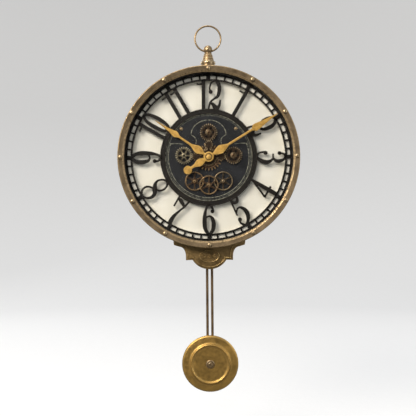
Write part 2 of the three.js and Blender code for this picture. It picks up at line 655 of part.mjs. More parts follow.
// The wheels that turn on the sleeve round the hand bush, and the pinion that drives them.
function makeCentreGears() {
  const sleeve = washer(SLEEVE_R, sleeveBoreR, rearLayerY, sleeveFrontY, FINE);
  const show = plate(gearShape(CENTRE_TEETH, CENTRE_MODULE, 0, 0, 0), showLayerY, FRONT_GEAR_T);
  const inside = drill(SLEEVE_R - 0.5);
  addPiece("centre_wheel", joined(cut(show, inside), sleeve), 0x6b4a34, 0.45, 0.85);

  const collarBore = drill(SLEEVE_R + GAP);
  const pinion = plate(gearShape(PINION_TEETH, FRONT_MODULE, 0, 0, 0), frontLayerY, FRONT_GEAR_T);
  addPiece("centre_pinion", cut(pinion, collarBore), ...darkBronze);
  const drive = plate(gearShape(DRIVE_TEETH, REAR_MODULE, 0, 0, 0), rearLayerY, REAR_GEAR_T);
  addPiece("drive_wheel", cut(drive, collarBore), ...paleBrass);

  const motorPhase = meshPhase(DRIVE_TEETH, 0, MOTOR_TEETH, 0);
  const motorTeeth = gearShape(MOTOR_TEETH, REAR_MODULE, 0, motorReach, motorPhase);
  const shaft = bar(MOTOR_SHAFT_R, movementFrontY + 6, rearLayerY - 0.5, 0, motorReach, 8);
  addPiece("motor_pinion", joined(plate(motorTeeth, rearLayerY, REAR_GEAR_T), shaft), ...paleBrass);
}

// An idler and the wheel that it turns, in line from the centre.
function makeSideGears(angle, name) {
  const back = frontLayerY;
  const front = back - FRONT_GEAR_T;
  const idlerPhase = meshPhase(PINION_TEETH, 0, IDLER_TEETH, angle);
  const idlerAt = clockwise(angle, idlerReach);
  const idlerTeeth = gearShape(IDLER_TEETH, FRONT_MODULE, idlerAt.x, idlerAt.y, idlerPhase);
  const idlerBore = drill(STUD_R + RUN, idlerAt.x, idlerAt.y, 12);
  addPiece(`idler_${name}`, cut(plate(idlerTeeth, back, FRONT_GEAR_T), idlerBore), ...darkBronze);

  const at = clockwise(angle, wheelReach);
  const phase = meshPhase(IDLER_TEETH, idlerPhase, WHEEL_TEETH, angle);
  const teeth = gearShape(WHEEL_TEETH, FRONT_MODULE, at.x, at.y, phase);
  const holes = Array.from({ length: WHEEL_HOLES }, (_, k) => {
    const p = clockwise((360 / WHEEL_HOLES) * k + phase, WHEEL_HOLE_CIRCLE).add(at);
    return drill(WHEEL_HOLE_R, p.x, p.y, 6);
  });
  const hub = bar(WHEEL_HUB_R, back - 0.6, front - 0.5, at.x, at.y, 10);
  const wheel = joined(cut(plate(teeth, back, FRONT_GEAR_T), ...holes), hub);
  const finish = name === "left" ? paleBrass : darkBronze;
  addPiece(`wheel_${name}`, cut(wheel, drill(STUD_R + RUN, at.x, at.y, 12)), ...finish);
}

// A spoked wheel in front of the disc, on one arbor with its gear behind the disc.
function makeLowerWheel(angle, name) {
  const at = clockwise(angle, lowerReach);
  const phase = meshPhase(DRIVE_TEETH, 0, LOWER_TEETH, angle);
  const back = name === "middle" ? frontLayerY : showLayerY;
  const front = back - FRONT_GEAR_T;
  const teeth = gearShape(LOWER_TEETH, REAR_MODULE, at.x, at.y, phase);
  const gear = plate(teeth, rearLayerY, REAR_GEAR_T);
  const arbor = bar(ARBOR_R, rearLayerY, back - FRONT_GEAR_T / 2, at.x, at.y, 10);
  const pivot = bar(ARBOR_PIVOT_R, panelBackY - 0.4, rearLayerY - 0.5, at.x, at.y, 8);
  const rim = washer(LOWER_WHEEL_R, LOWER_WHEEL_R - LOWER_RIM, back, front, 24, at.x, at.y);
  const hub = bar(LOWER_HUB_R, back, front, at.x, at.y, 12);
  const spokes = [0, 60, 120].map((direction) => {
    const along = clockwise(direction, LOWER_WHEEL_R - LOWER_RIM / 2);
    const across = clockwise(direction + 90, SPOKE_HALF);
    return plate(barShape(at, along, across), back - 0.2, FRONT_GEAR_T - 0.4);
  });
  const finish = name === "right" ? darkBronze : bronze;
  addPiece(`lower_wheel_${name}`, joined(gear, arbor, pivot, rim, hub, ...spokes), ...finish);
}

// A straight bar about a middle point, reaching along and across to each side.
function barShape(middle, along, across) {
  const corners = [[1, 1], [1, -1], [-1, -1], [-1, 1]];
  return new THREE.Shape(
    corners.map(([p, q]) => middle.clone().addScaledVector(along, p).addScaledVector(across, q)),
  );
}

// A three-armed bridge on the hand bush carries the idlers from the front.
function makeIdlerBridge() {
  const back = sleeveFrontY - GAP;
  const front = back - BRIDGE_T;
  const arms = wheelAngles.map((angle) => {
    const end = clockwise(angle, idlerReach);
    const halfway = end.clone().multiplyScalar(0.5);
    const arm = plate(barShape(halfway, halfway, clockwise(angle + 90, BRIDGE_ARM_HALF)), back, BRIDGE_T);
    const boss = bar(BRIDGE_BOSS_R, back, front, end.x, end.y, 10);
    const stud = bar(STUD_R, back - BRIDGE_T / 2, frontLayerY - 0.1, end.x, end.y, 8);
    return joined(arm, boss, stud);
  });
  const collar = bar(SLEEVE_R, back, front, 0, 0, FINE);
  addPiece("idler_bridge", cut(joined(collar, ...arms), drill(BUSH_R + GAP)), ...darkBronze);
}

// ---- Hands -----------------------------------------------------------------------------------------
// A hand's outline from stations of [distance from the axis, half width], tip last.
function handOutline(stations, angle) {
  const middle = new THREE.Vector2();
  const right = stations.map(([d, w]) => new THREE.Vector2(w, d));
  const left = stations.map(([d, w]) => new THREE.Vector2(-w, d)).reverse();
  return new THREE.Shape([...right, ...left].map((p) => p.rotateAround(middle, -rad(angle))));
}

const leaf = (neck, widest, stem) => [[0, 2], [neck, 2], [widest, 6.2], [widest + 4, 5], [stem, 2.4]];

function makeHands() {
  const minuteAngle = 6 * REST_MINUTES;
  const hourAngle = 30 * (REST_HOURS + REST_MINUTES / 60);
  const hourBack = plateFrontY - HOUR_HAND_LIFT;
  const minuteBack = plateFrontY - MINUTE_HAND_LIFT;
  const bushFront = hourBack + GAP;

  const tip = MINUTE_HAND_L;
  const minuteStations = [
    ...leaf(9.4, 20, 33),
    [37, 1.6],
    [tip - 44, 1.6],
    [tip - 38.5, 5.5],
    [tip - 26, 2.6],
    [tip - 12, 1.2],
    [tip, 0.3],
  ];
  const tailAngle = minuteAngle + 180;
  const tail = [[0, 2], [5, 2], [15, 5.4], [19, 4.4], [27, 1.9], [33, 1.8]];
  const ballAt = clockwise(tailAngle, TAIL_L);
  const minuteHand = joined(
    plate(handOutline(minuteStations, minuteAngle), minuteBack, HAND_T),
    plate(handOutline(tail, tailAngle), minuteBack, HAND_T),
    bar(TAIL_BALL_R, minuteBack, minuteBack - HAND_T, ballAt.x, ballAt.y, 20),
    bar(HUB_BOSS_R, minuteBack, minuteBack - HAND_T, 0, 0, FINE),
  );
  addPiece("minute_hand", cut(minuteHand, drill(MINUTE_ARBOR_R + GAP, 0, 0, 12)), ...gold);

  const hourTip = HOUR_HAND_L;
  const hourStations = [
    ...leaf(9, 18, 31),
    [35, 1.6],
    [hourTip - 41, 1.6],
    [hourTip - 35, 4.7],
    [hourTip - 22, 2.2],
    [hourTip - 10, 1],
    [hourTip, 0.3],
  ];
  const hourHand = joined(
    plate(handOutline(hourStations, hourAngle), hourBack, HAND_T),
    bar(HUB_BOSS_R, hourBack, hourBack - HAND_T, 0, 0, FINE),
  );
  addPiece("hour_hand", cut(hourHand, drill(HOUR_PIPE_R + GAP)), ...gold);

  const pipeBore = MINUTE_ARBOR_R + RUN;
  const pipe = washer(HOUR_PIPE_R, pipeBore, movementFrontY + 3, hourBack - HAND_T, FINE);
  addPiece("hour_pipe", pipe, ...brass);
  const arborFront = minuteBack - HAND_T - HUB_CAP_T - HUB_NUT_T + 0.1;
  addPiece("minute_arbor", bar(MINUTE_ARBOR_R, movementFrontY + 5, arborFront, 0, 0, 12), ...brass);
  const capBack = minuteBack - HAND_T - GAP;
  const cap = joined(
    bar(HUB_CAP_R, capBack, capBack - HUB_CAP_T, 0, 0, 24),
    bar(HUB_NUT_R, capBack, capBack - HUB_CAP_T - HUB_NUT_T, 0, 0, 6),
  );
  addPiece("hand_nut", cut(cap, drill(MINUTE_ARBOR_R + GAP, 0, 0, 12)), ...gold);

  return bushFront;
}

// ---- Movement --------------------------------------------------------------------------------------
function makeMovement(bushFront) {
  const w = MOVEMENT_W / 2;
  const top = MOVEMENT_TOP;
  const bottom = top - MOVEMENT_H;
  const wall = MOVEMENT_WALL;
  const bayTop = bottom + wall + 2 * BATTERY_R + 2;
  const bayFront = movementBackY - 2 * BATTERY_R - 1.6;
  const box = block(-w, w, movementFrontY, movementBackY, bottom, top);
  const inner = w - wall;
  const worksFront = movementFrontY + wall;
  const works = block(-inner, inner, worksFront, movementBackY + 1, bayTop + wall, top - wall);
  const bay = block(-inner, inner, bayFront, movementBackY + 1, bottom + wall, bayTop);
  const bush = bar(BUSH_R, movementFrontY + 1, bushFront, 0, 0, FINE);
  const through = drill(HOUR_PIPE_R + RUN, 0, 0, 12);
  addPiece("movement_housing", cut(joined(cut(box, works, bay), bush), through), ...blackPlastic);

  const lidHalfW = inner - GAP;
  const lidFront = movementBackY - LID_T;
  const lid = block(-lidHalfW, lidHalfW, lidFront, movementBackY, bayTop + wall + GAP, top - wall - GAP);
  const knobBore = drill(KNOB_STEM_R + RUN, KNOB_AT[0], KNOB_AT[1], 12);
  const pin = bar(PIVOT_PIN_R, movementBackY - 1, strapBackY + 0.6, 0, -PIVOT_DROP, 12);
  addPiece("movement_cover", joined(cut(lid, knobBore), pin), ...blackPlastic);

  const stem = bar(KNOB_STEM_R, movementBackY - 8, movementBackY + 1, KNOB_AT[0], KNOB_AT[1], 12);
  const gripFront = movementBackY + 2 * GAP;
  const grip = bar(KNOB_R, gripFront, gripFront + KNOB_GRIP_T, KNOB_AT[0], KNOB_AT[1]);
  addPiece("setting_knob", joined(stem, grip), ...blackPlastic);

  const end = BATTERY_L + BATTERY_TIP_L;
  const cellProfile = [
    [0, 0],
    [BATTERY_R, 0],
    [BATTERY_R, BATTERY_L],
    [BATTERY_TIP_R, BATTERY_L],
    [BATTERY_TIP_R, end],
    [0, end],
  ];
  const cell = new THREE.LatheGeometry(cellProfile.map(([r, h]) => new THREE.Vector2(r, h)), FINE);
  const batteryZ = (bottom + wall + bayTop) / 2;
  cell.rotateZ(-Math.PI / 2).translate(-end / 2, movementBackY - BATTERY_R - 2 * GAP, batteryZ);
  addPiece("aa_battery", solid(cell), 0x3a5f4a, 0.4, 0.4);

  const nutBack = panelFrontY - GAP;
  const nut = cut(bar(BUSH_NUT_R, nutBack, nutBack - BUSH_NUT_T, 0, 0, 6), drill(BUSH_R + GAP));
  addPiece("bush_nut", nut, ...brass);

  const [mw, mh, md] = MOTOR_BOX;
  const motorBottom = Math.max(top + MOTOR_LIFT, motorReach - mh / 2);
  const motor = block(-mw / 2, mw / 2, movementFrontY, movementFrontY + md, motorBottom, motorBottom + mh);
  const shaftHole = bar(MOTOR_SHAFT_R + RUN, movementFrontY - 2, movementFrontY + 8, 0, motorReach, 8);
  addPiece("gear_motor", cut(motor, shaftHole), ...blackPlastic);
}

// ---- Pendulum --------------------------------------------------------------------------------------
// The moulded strap that swings on the movement's pin, with the magnet that the movement drives.
function makeLeader() {
  const front = strapBackY - STRAP_T;
  const eye = bar(EYE_R, strapBackY, front, 0, -PIVOT_DROP);
  const foot = bar(LEADER_FOOT_R, strapBackY, front, 0, -HOOK_DROP);
  const strap = block(-STRAP_HALF_W, STRAP_HALF_W, front, strapBackY, -HOOK_DROP, -PIVOT_DROP);
  const pinHole = drill(PIVOT_PIN_R + RUN, 0, -PIVOT_DROP, 12);
  const hookHole = drill(LEADER_EYE_R, 0, -HOOK_DROP, 12);
  addPiece("pendulum_leader", cut(joined(strap, eye, foot), pinHole, hookHole), ...blackPlastic);
  const back = front - GAP;
  const magnet = bar(MAGNET_R, back, back - MAGNET_T, 0, -PIVOT_DROP - MAGNET_DROP);
  addPiece("pendulum_magnet", magnet, 0x8d8f92, 0.35, 0.9);
}

// The rods hang from a bridge whose wire hook passes through the lower eye of the leader.
function makeRods() {
  const top = -HOOK_DROP - BRIDGE_DROP;
  const bottom = top - BRIDGE_H;
  const ends = [-ROD_SPACING / 2, ROD_SPACING / 2];
  // Stops of the hook's centre line: towards the wall, and up from the eye.
  const stops = [[-0.4, -9], [2.6, -6.5], [2.8, -2.5], [0, 0], [-2.2, -2.4], [-2.2, -4.6]];
  const wire = new THREE.CatmullRomCurve3(
    stops.map(([y, z]) => new THREE.Vector3(0, rodY + y, -HOOK_DROP + z)),
  );
  const section = new THREE.Shape();
  section.absarc(0, 0, HOOK_WIRE_R, 0, TURN, false);
  const hook = new THREE.ExtrudeGeometry(section, { steps: 12, extrudePath: wire, curveSegments: 3 });
  const [w, d] = [BRIDGE_HALF_W, BRIDGE_HALF_D];
  const across = block(-w, w, rodY - d, rodY + d, bottom, top);
  const seats = ends.map((x) => upright(ROD_R + GAP, bottom - 1, top - ROD_SEAT, x, rodY, 10));
  addPiece("rod_bridge", cut(joined(across, solid(hook)), ...seats), ...darkBronze);

  const rodEnd = -BOB_DROP - BOB_R * ROD_REACH;
  const rods = ends.map((x) => upright(ROD_R, rodEnd, top - ROD_SEAT - GAP, x, rodY, 10));
  addPiece("rod_left", rods[0], ...darkBronze);
  addPiece("rod_right", rods[1], ...darkBronze);
}

// The bob: a stepped front pressed from sheet, and a shallow pan that closes it behind the rods.
function makeBob() {
  const z = -BOB_DROP;
  const rim = rodY - ROD_R - GAP;
  const panBack = rodY + ROD_R + GAP + BOB_SHEET;
  const stepFront = panBack - BOB_DEPTH;
  const screwBore = BOB_SCREW_R + GAP;
  const frontProfile = [
    [screwBore, stepFront + 1.3],
    [BOB_STEP_R - 1.6, stepFront + 1.6],
    [BOB_STEP_R - 0.9, stepFront + 0.2],
    [BOB_STEP_R + 0.5, stepFront],
    [BOB_STEP_R + 1.8, stepFront + 1.8],
    [BOB_R - 1, stepFront + 3.6],
    [BOB_R, stepFront + 4.8],
    [BOB_R, rim],
    [BOB_R - BOB_SHEET, rim],
    [BOB_R - BOB_SHEET, stepFront + 5.4],
    [BOB_STEP_R, stepFront + 3],
    [screwBore, stepFront + 3],
    [screwBore, stepFront + 1.3],
  ];
  addPiece("bob_front", turned(frontProfile, FACETS, 0, z), 0x83683a, 0.5, 0.85);

  const panR = BOB_R - BOB_SHEET - 0.7;
  const panProfile = [
    [screwBore, panBack],
    [panR, panBack],
    [panR, rim - 1],
    [panR - 1.2, rim - 1],
    [panR - 1.2, panBack - BOB_SHEET],
    [screwBore, panBack - BOB_SHEET],
    [screwBore, panBack],
  ];
  const gate = ROD_SPACING / 2 + ROD_R + 2 * GAP;
  const gateway = block(-gate, gate, rim - 2, panBack - BOB_SHEET, z + panR - 5, z + panR + 5);
  addPiece("bob_back", cut(turned(panProfile, FACETS, 0, z), gateway), 0x5f4c2e, 0.6, 0.8);

  const headBack = stepFront + 1.3 - GAP;
  const end = panBack + 0.6;
  const screwProfile = [
    [0, headBack - BOB_HEAD_H],
    [BOB_HEAD_R * 0.65, headBack - BOB_HEAD_H * 0.7],
    [BOB_HEAD_R, headBack],
    [BOB_SCREW_R, headBack],
    [BOB_SCREW_R, end],
    [0, end],
  ];
  addPiece("bob_screw", turned(screwProfile, FINE, 0, z), ...brass);
}

// ---- Pendant and bow ring --------------------------------------------------------------------------
function makePendant() {
  const seat = drumR + GAP;
  const ballZ = drumR + BALL_LIFT;
  const ball = [-30, 0, 30, 60].map((a) => [BALL_R * Math.cos(rad(a)), ballZ + BALL_R * Math.sin(rad(a))]);
  const profile = [
    [0, boreR - 2.5],
    [SPIGOT_R, boreR - 2.5],
    [SPIGOT_R, seat],
    [FOOT_R, seat],
    [FOOT_R, drumR + FOOT_H],
    [FOOT_R - 1.1, drumR + FOOT_H + 2.9],
    [NECK_R + 2.2, drumR + FOOT_H + 8.7],
    [NECK_R + 0.7, drumR + FOOT_H + 11.3],
    [NECK_R, drumR + FOOT_H + 12.4],
    [NECK_R - 1, ballZ - BALL_R + 1.2],
    ...ball,
    [0, ballZ + BALL_R],
  ];
  const hole = new THREE.CylinderGeometry(RING_HOLE_R, RING_HOLE_R, 4 * BALL_R, 12).rotateZ(Math.PI / 2);
  const body = turnedUpright(profile, FINE, 0, PENDANT_Y);
  addPiece("pendant", cut(body, solid(hole.translate(0, PENDANT_Y, holeZ))), ...brass);

  const ring = new THREE.TorusGeometry(RING_R, RING_WIRE_R, 8, 28).rotateX(Math.PI / 2);
  addPiece("hanging_ring", solid(ring.translate(0, PENDANT_Y, holeZ + RING_R)), ...brass);
}

// ---- Apron -----------------------------------------------------------------------------------------
// The outline from the drum down: a straight edge, a hollow curve, a shelf and a round foot.
function makeApron() {
  const side = -APRON_HALF_W;
  const sag = (x) => -Math.sqrt((drumR + GAP) ** 2 - x * x);
  const low = -drumR - APRON_DROP;
  const outline = new THREE.Shape();
  const topSteps = 12;
  outline.moveTo(side, sag(side));
  outline.lineTo(side, low + 40.9);
  outline.lineTo(side + 0.8, low + 37);
  outline.lineTo(side + 9.1, low + 34.4);
  outline.quadraticCurveTo(-36.4, low + 33.4, -35.7, low + 19.9);
  outline.lineTo(-35.7, low + 13.9);
  outline.lineTo(-25.7, low + 14.3);
  outline.quadraticCurveTo(-17, low + 0.6, 0, low);
  outline.quadraticCurveTo(17, low + 0.6, 25.7, low + 14.3);
  outline.lineTo(35.7, low + 13.9);
  outline.lineTo(35.7, low + 19.9);
  outline.quadraticCurveTo(36.4, low + 33.4, -side - 9.1, low + 34.4);
  outline.lineTo(-side - 0.8, low + 37);
  outline.lineTo(-side, low + 40.9);
  for (let i = 0; i <= topSteps; i++) {
    const x = -side + (2 * side * i) / topSteps;
    outline.lineTo(x, sag(x));
  }
  const cartouche = new THREE.Shape();
  cartouche.absellipse(0, low + CARTOUCHE_LIFT, ...CARTOUCHE, 0, TURN, false);
  const boss = plate(cartouche, APRON_Y - APRON_T + 0.5, CARTOUCHE_T + 0.5, 10);
  addPiece("apron", joined(plate(outline, APRON_Y, APRON_T, 5), boss), 0x6b5427, 0.5, 0.85);
}

makeCase();
makeWallFittings();
makeDial();
makeCentreGears();
wheelAngles.forEach((angle, i) => makeSideGears(angle, sideNames[i]));
lowerAngles.forEach((angle, i) => makeLowerWheel(angle, lowerNames[i]));
makeIdlerBridge();
makeMovement(makeHands());
makeLeader();
makeRods();
makeBob();
makePendant();
makeApron();

export default clock;
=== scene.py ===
# %% [markdown]
# This lesson builds the visible surfaces of a pendulum wall clock. The clock has a round case with a
# riveted bezel, a dial with cut-out numerals, a black disc with turning gears, a bow ring on top, and a
# pendulum that hangs on two rods. Its solid model is loaded as a fixed frame. It says where each part
# stands and how it moves. Each visible part is then drawn again as a smooth surface in the same place.

# %% Load the frame
import json

import bmesh
import bpy
import numpy as np
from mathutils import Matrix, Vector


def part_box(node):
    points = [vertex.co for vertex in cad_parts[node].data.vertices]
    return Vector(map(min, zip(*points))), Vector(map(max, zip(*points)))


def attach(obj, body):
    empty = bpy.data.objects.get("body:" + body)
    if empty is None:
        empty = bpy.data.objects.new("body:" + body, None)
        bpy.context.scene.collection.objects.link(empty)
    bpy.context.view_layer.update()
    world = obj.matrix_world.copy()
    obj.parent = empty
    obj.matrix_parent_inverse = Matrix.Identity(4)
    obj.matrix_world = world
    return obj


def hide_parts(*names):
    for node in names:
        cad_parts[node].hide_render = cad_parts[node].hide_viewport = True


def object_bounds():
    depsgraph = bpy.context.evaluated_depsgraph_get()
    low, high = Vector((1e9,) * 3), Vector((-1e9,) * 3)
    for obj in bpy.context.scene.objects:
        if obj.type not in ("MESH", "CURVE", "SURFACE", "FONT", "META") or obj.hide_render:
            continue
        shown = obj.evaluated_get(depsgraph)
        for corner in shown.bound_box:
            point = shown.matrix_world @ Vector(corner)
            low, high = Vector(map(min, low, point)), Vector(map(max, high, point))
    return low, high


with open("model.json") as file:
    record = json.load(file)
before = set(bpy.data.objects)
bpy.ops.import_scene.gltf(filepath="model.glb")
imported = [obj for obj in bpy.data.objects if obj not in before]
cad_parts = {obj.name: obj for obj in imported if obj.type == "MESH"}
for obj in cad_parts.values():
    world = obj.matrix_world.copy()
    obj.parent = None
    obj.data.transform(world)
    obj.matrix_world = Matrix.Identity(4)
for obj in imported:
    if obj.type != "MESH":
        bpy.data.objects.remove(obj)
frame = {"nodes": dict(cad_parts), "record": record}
cad_box = [list(corner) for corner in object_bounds()]

# %% [markdown]
# Every size below is in millimetres, because that is how a clockmaker thinks, and one function turns
# them to metres at the end. X runs to the right, Y runs back to the wall and Z runs up. Places are read
# from the frame: a joint says where an axis stands, and a node's box says how far a part reaches.

# %% Places from the frame
MM = 0.001
TURN = 2 * np.pi
JOINTS = {joint["name"]: joint for joint in frame["record"]["behaviour"]["joints"]}


def axis_of(joint):
    """The x and z of a joint's axis, in millimetres."""
    x, _, z = JOINTS[joint]["pos_m"]
    return np.array([x, z]) / MM


def reach(node, axis):
    """The lowest and highest value of a node along X, Y or Z, in millimetres."""
    at = "XYZ".index(axis)
    low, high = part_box(node)
    return low[at] / MM, high[at] / MM


def radius_of(node):
    """Half the width of a round node, in millimetres."""
    low, high = reach(node, "X")
    return (high - low) / 2


HUB = axis_of("minute_turn")
BEZEL_R = radius_of("bezel_ring")
bezel_front, bezel_skirt_end = reach("bezel_ring", "Y")
glass_front, glass_back = reach("glass_lens", "Y")
plate_front, plate_back = reach("chapter_ring", "Y")
disc_screw_front = reach("disc_screw_left", "Y")[0]
panel_front, panel_back = reach("dial_panel", "Y")
movement_back = reach("movement_housing", "Y")[1]
drum_front, drum_back = reach("case_drum", "Y")
print("hands' axis at", HUB.round(3), "bezel radius", round(BEZEL_R, 1))

# %% [markdown]
# Almost every part here is a surface of two parameters. A turned part takes a profile, a list of radius
# and height, round an axis. A wire or a bead takes a small circle along a path. A numeral takes a flat
# bar along a path while its width changes. All of them end as a grid of points, so one function joins
# each point of a grid to its neighbours, and that is the only place where faces are made.

# %% A grid of points as faces
def surface(points, worn, close_rows, close_columns=True):
    """Vertices, wear and quads of a grid: four neighbours make a face, and a closed side wraps round."""
    rows, columns = points.shape[:2]
    index = np.arange(rows * columns).reshape(rows, columns)
    if close_rows:
        index = np.vstack([index, index[:1]])
    if close_columns:
        index = np.hstack([index, index[:, :1]])
    corners = [index[:-1, :-1], index[1:, :-1], index[1:, 1:], index[:-1, 1:]]
    quads = np.stack(corners, axis=-1).reshape(-1, 4)
    wear = np.broadcast_to(worn, (rows, columns)).reshape(-1)
    return points.reshape(-1, 3), wear, quads.tolist()


def capped(made, columns):
    """The same surface with a flat face over its first and its last row."""
    points, wear, faces = made
    last = len(points) - columns
    ends = [list(range(columns)), list(range(last, last + columns))]
    return points, wear, faces + ends


# %% [markdown]
# A real edge is never sharp: it is rounded by a fraction of a millimetre, and that small round is what
# catches the light. So a profile's corners are rounded before it is turned. The same step also marks
# the corners as worn, with 1 on the edge and 0 a little way off. The finishes read that mark later, so
# that lacquer is rubbed through exactly where a hand or a cloth would rub it.

# %% Rounded profiles
def rounded(profile, radius, wear=1.0, steps=3):
    """Each corner P becomes the curve (1-t)^2 A + 2t(1-t) P + t^2 B, with A and B a radius before and
    after it. Returns rows of radius, height and wear. Ends that lie on the axis stay as they are."""
    p = np.asarray(profile, float)
    solid = p[0, 0] == 0 and p[-1, 0] == 0
    before = np.roll(p, 1, axis=0) - p
    after = np.roll(p, -1, axis=0) - p
    if solid:
        before[0] = after[0]
        after[-1] = before[-1]
    room_b = np.linalg.norm(before, axis=1, keepdims=True)
    room_a = np.linalg.norm(after, axis=1, keepdims=True)
    near_b, near_a = np.minimum(radius, room_b * 0.3), np.minimum(radius, room_a * 0.3)
    a, b = p + before / room_b * near_b, p + after / room_a * near_a
    far_a, far_b = p + before / room_b * near_b * 1.6, p + after / room_a * near_a * 1.6
    t = np.linspace(0, 1, steps + 1)[None, :, None]
    arc = (1 - t) ** 2 * a[:, None] + 2 * t * (1 - t) * p[:, None] + t**2 * b[:, None]
    rows = np.concatenate([far_a[:, None], arc, far_b[:, None]], axis=1)
    mark = np.full((len(p), steps + 3, 1), wear)
    mark[:, [0, -1]] = 0.0
    rows = np.concatenate([rows, mark], axis=2).reshape(-1, 3)
    if solid:
        inner = slice(steps + 3, -(steps + 3))
        first, last = np.append(p[0], 0.0), np.append(p[-1], 0.0)
        rows = np.vstack([first, rows[inner], last])
    return rows


def barrel(r, front, back, bore=0):
    """The profile of a plain cylinder or, with a bore, of a plain tube."""
    return [(bore, front), (r, front), (r, back), (bore, back)]


AROUND = {"x": (1, 2, 0), "y": (0, 2, 1), "z": (0, 1, 2)}


def turned(rows, centre, sides=128, along="y", outline=None):
    """A surface of revolution: the point (r, h) becomes centre + r (sin a, cos a) at height h. Rows are
    radius, height, wear and, where there is an outline, how far the outline pushes the radius out. A row
    that follows the outline is worn on its peaks only."""
    rows = np.asarray(rows, float)
    angle = np.arange(sides) * TURN / sides
    r = np.repeat(rows[:, :1], sides, axis=1)
    if outline is not None:
        r = r + rows[:, 3:4] * outline[None, :]
    across, up, height = AROUND[along]
    points = np.empty((len(rows), sides, 3))
    points[..., across] = centre[0] + r * np.sin(angle)
    points[..., up] = centre[1] + r * np.cos(angle)
    points[..., height] = rows[:, 1:2]
    worn = rows[:, 2:3]
    if outline is not None:
        worn = worn * np.where(rows[:, 3:4] > 0, outline / outline.max(), 1)
    on_axis = rows[0, 0] == 0 and rows[-1, 0] == 0
    return surface(points, worn, close_rows=not on_axis)


# %% [markdown]
# A path is a smooth line through a few chosen points. Carrying a circle along it gives a wire, a rod or
# a raised bead. Carrying a flat section gives the strokes of a numeral and the blade of a hand.

# %% Paths, beads and blades
def smooth(stops, steps, closed=False):
    """A Catmull-Rom line: between stops B and C it is the cubic whose slopes are (C-A)/2 and (D-B)/2."""
    p = np.asarray(stops, float)
    if closed:
        p = np.vstack([p[-1], p, p[:2]])
    else:
        p = np.vstack([2 * p[0] - p[1], p, 2 * p[-1] - p[-2]])
    a, b, c, d = (p[i : len(p) - 3 + i, None] for i in range(4))
    t = (np.arange(steps) / steps)[None, :, None]
    cubic = b + t * (c - a) / 2 + t**2 * (a - 2.5 * b + 2 * c - d / 2)
    line = (cubic + t**3 * (1.5 * b - 1.5 * c + (d - a) / 2)).reshape(-1, p.shape[1])
    return line if closed else np.vstack([line, p[-2]])


def sideways(line, closed):
    """The unit vector square to a flat line at each of its points, from the chord of its neighbours."""
    along = np.roll(line, -1, axis=0) - np.roll(line, 1, axis=0)
    if not closed:
        along[0], along[-1] = line[1] - line[0], line[-1] - line[-2]
    side = np.stack([-along[:, 1], along[:, 0]], axis=1)
    return side / np.maximum(np.linalg.norm(side, axis=1, keepdims=True), 1e-9)


def bead(line, half, height, y, closed=True, wear=1.0):
    """A raised bead on a flat face: point (x, z) of the line gets the half ellipse half cos a across
    and height sin a towards the front. It is worn along its crest."""
    line = np.asarray(line, float)
    a = np.linspace(0, np.pi, 9)
    side = sideways(line, closed)
    taper = np.ones(len(line))
    if not closed:
        taper[[0, -1]] = 0.35
    points = np.empty((len(line), len(a) + 2, 3))
    across = np.concatenate([[half], half * np.cos(a), [-half]])
    out = np.concatenate([[-height * 0.4], height * np.sin(a), [-height * 0.4]])
    spread = across[None, :, None] * side[:, None, :] * taper[:, None, None]
    points[..., 0::2] = line[:, None, :] + spread
    points[..., 1] = y - out[None, :] * taper[:, None]
    crest = np.concatenate([[0], np.sin(a) ** 3, [0]]) * wear
    made = surface(points, crest[None, :], close_rows=closed)
    return made if closed else capped(made, len(a) + 2)


def blade(line, half_width, back, front, edge, crown=0.0, wear=0.6):
    """A flat bar along a line: the section is a rectangle of the local width whose front edges are cut
    back by edge, and whose middle stands crown higher."""
    line, w = np.asarray(line, float), np.asarray(half_width, float)
    flat_w = w - np.minimum(edge, w * 0.45)
    right = [(w, back), (w, front + edge), (flat_w, front), (flat_w * 0.6, front - 0.6 * crown),
             (flat_w * 0.25, front - crown)]
    section = right + [(-x, y) for x, y in right[::-1]]
    side = sideways(line, closed=False)
    points = np.empty((len(line), len(section), 3))
    across = np.stack([np.broadcast_to(x, len(line)) for x, _ in section], axis=1)
    points[..., 0::2] = line[:, None, :] + across[..., None] * side[:, None, :]
    points[..., 1] = np.array([y for _, y in section])[None, :]
    mark = np.array([0, 1, 1, 0, 0, 0, 0, 1, 1, 0]) * wear
    return capped(surface(points, mark[None, :], close_rows=False), len(section))


def wire(line, radius, sides=16, closed=False):
    """A round wire: at each point, a circle spanned by two vectors square to the line's direction."""
    line = np.asarray(line, float)
    along = np.roll(line, -1, axis=0) - np.roll(line, 1, axis=0)
    if not closed:
        along[0], along[-1] = line[1] - line[0], line[-1] - line[-2]
    along /= np.linalg.norm(along, axis=1, keepdims=True)
    first = np.cross(along, [0.0, 0.31, 0.95] if abs(along[0, 2]) < 0.9 else [1.0, 0.0, 0.0])
    first /= np.linalg.norm(first, axis=1, keepdims=True)
    second = np.cross(along, first)
    a = np.arange(sides) * TURN / sides
    circle = first[:, None] * np.cos(a)[None, :, None] + second[:, None] * np.sin(a)[None, :, None]
    made = surface(line[:, None] + radius * circle, 0.35, close_rows=closed)
    return made if closed else capped(made, sides)


# %% [markdown]
# Sheet metal parts, such as the minute track or a spoked wheel, are flat with cut-outs. A flat curve is
# the natural tool for them: closed outlines inside each other become metal and window in turn. The
# curve is filled, given its thickness and a rounded edge, and then turned to points and faces, so that
# it joins the other surfaces on equal terms.

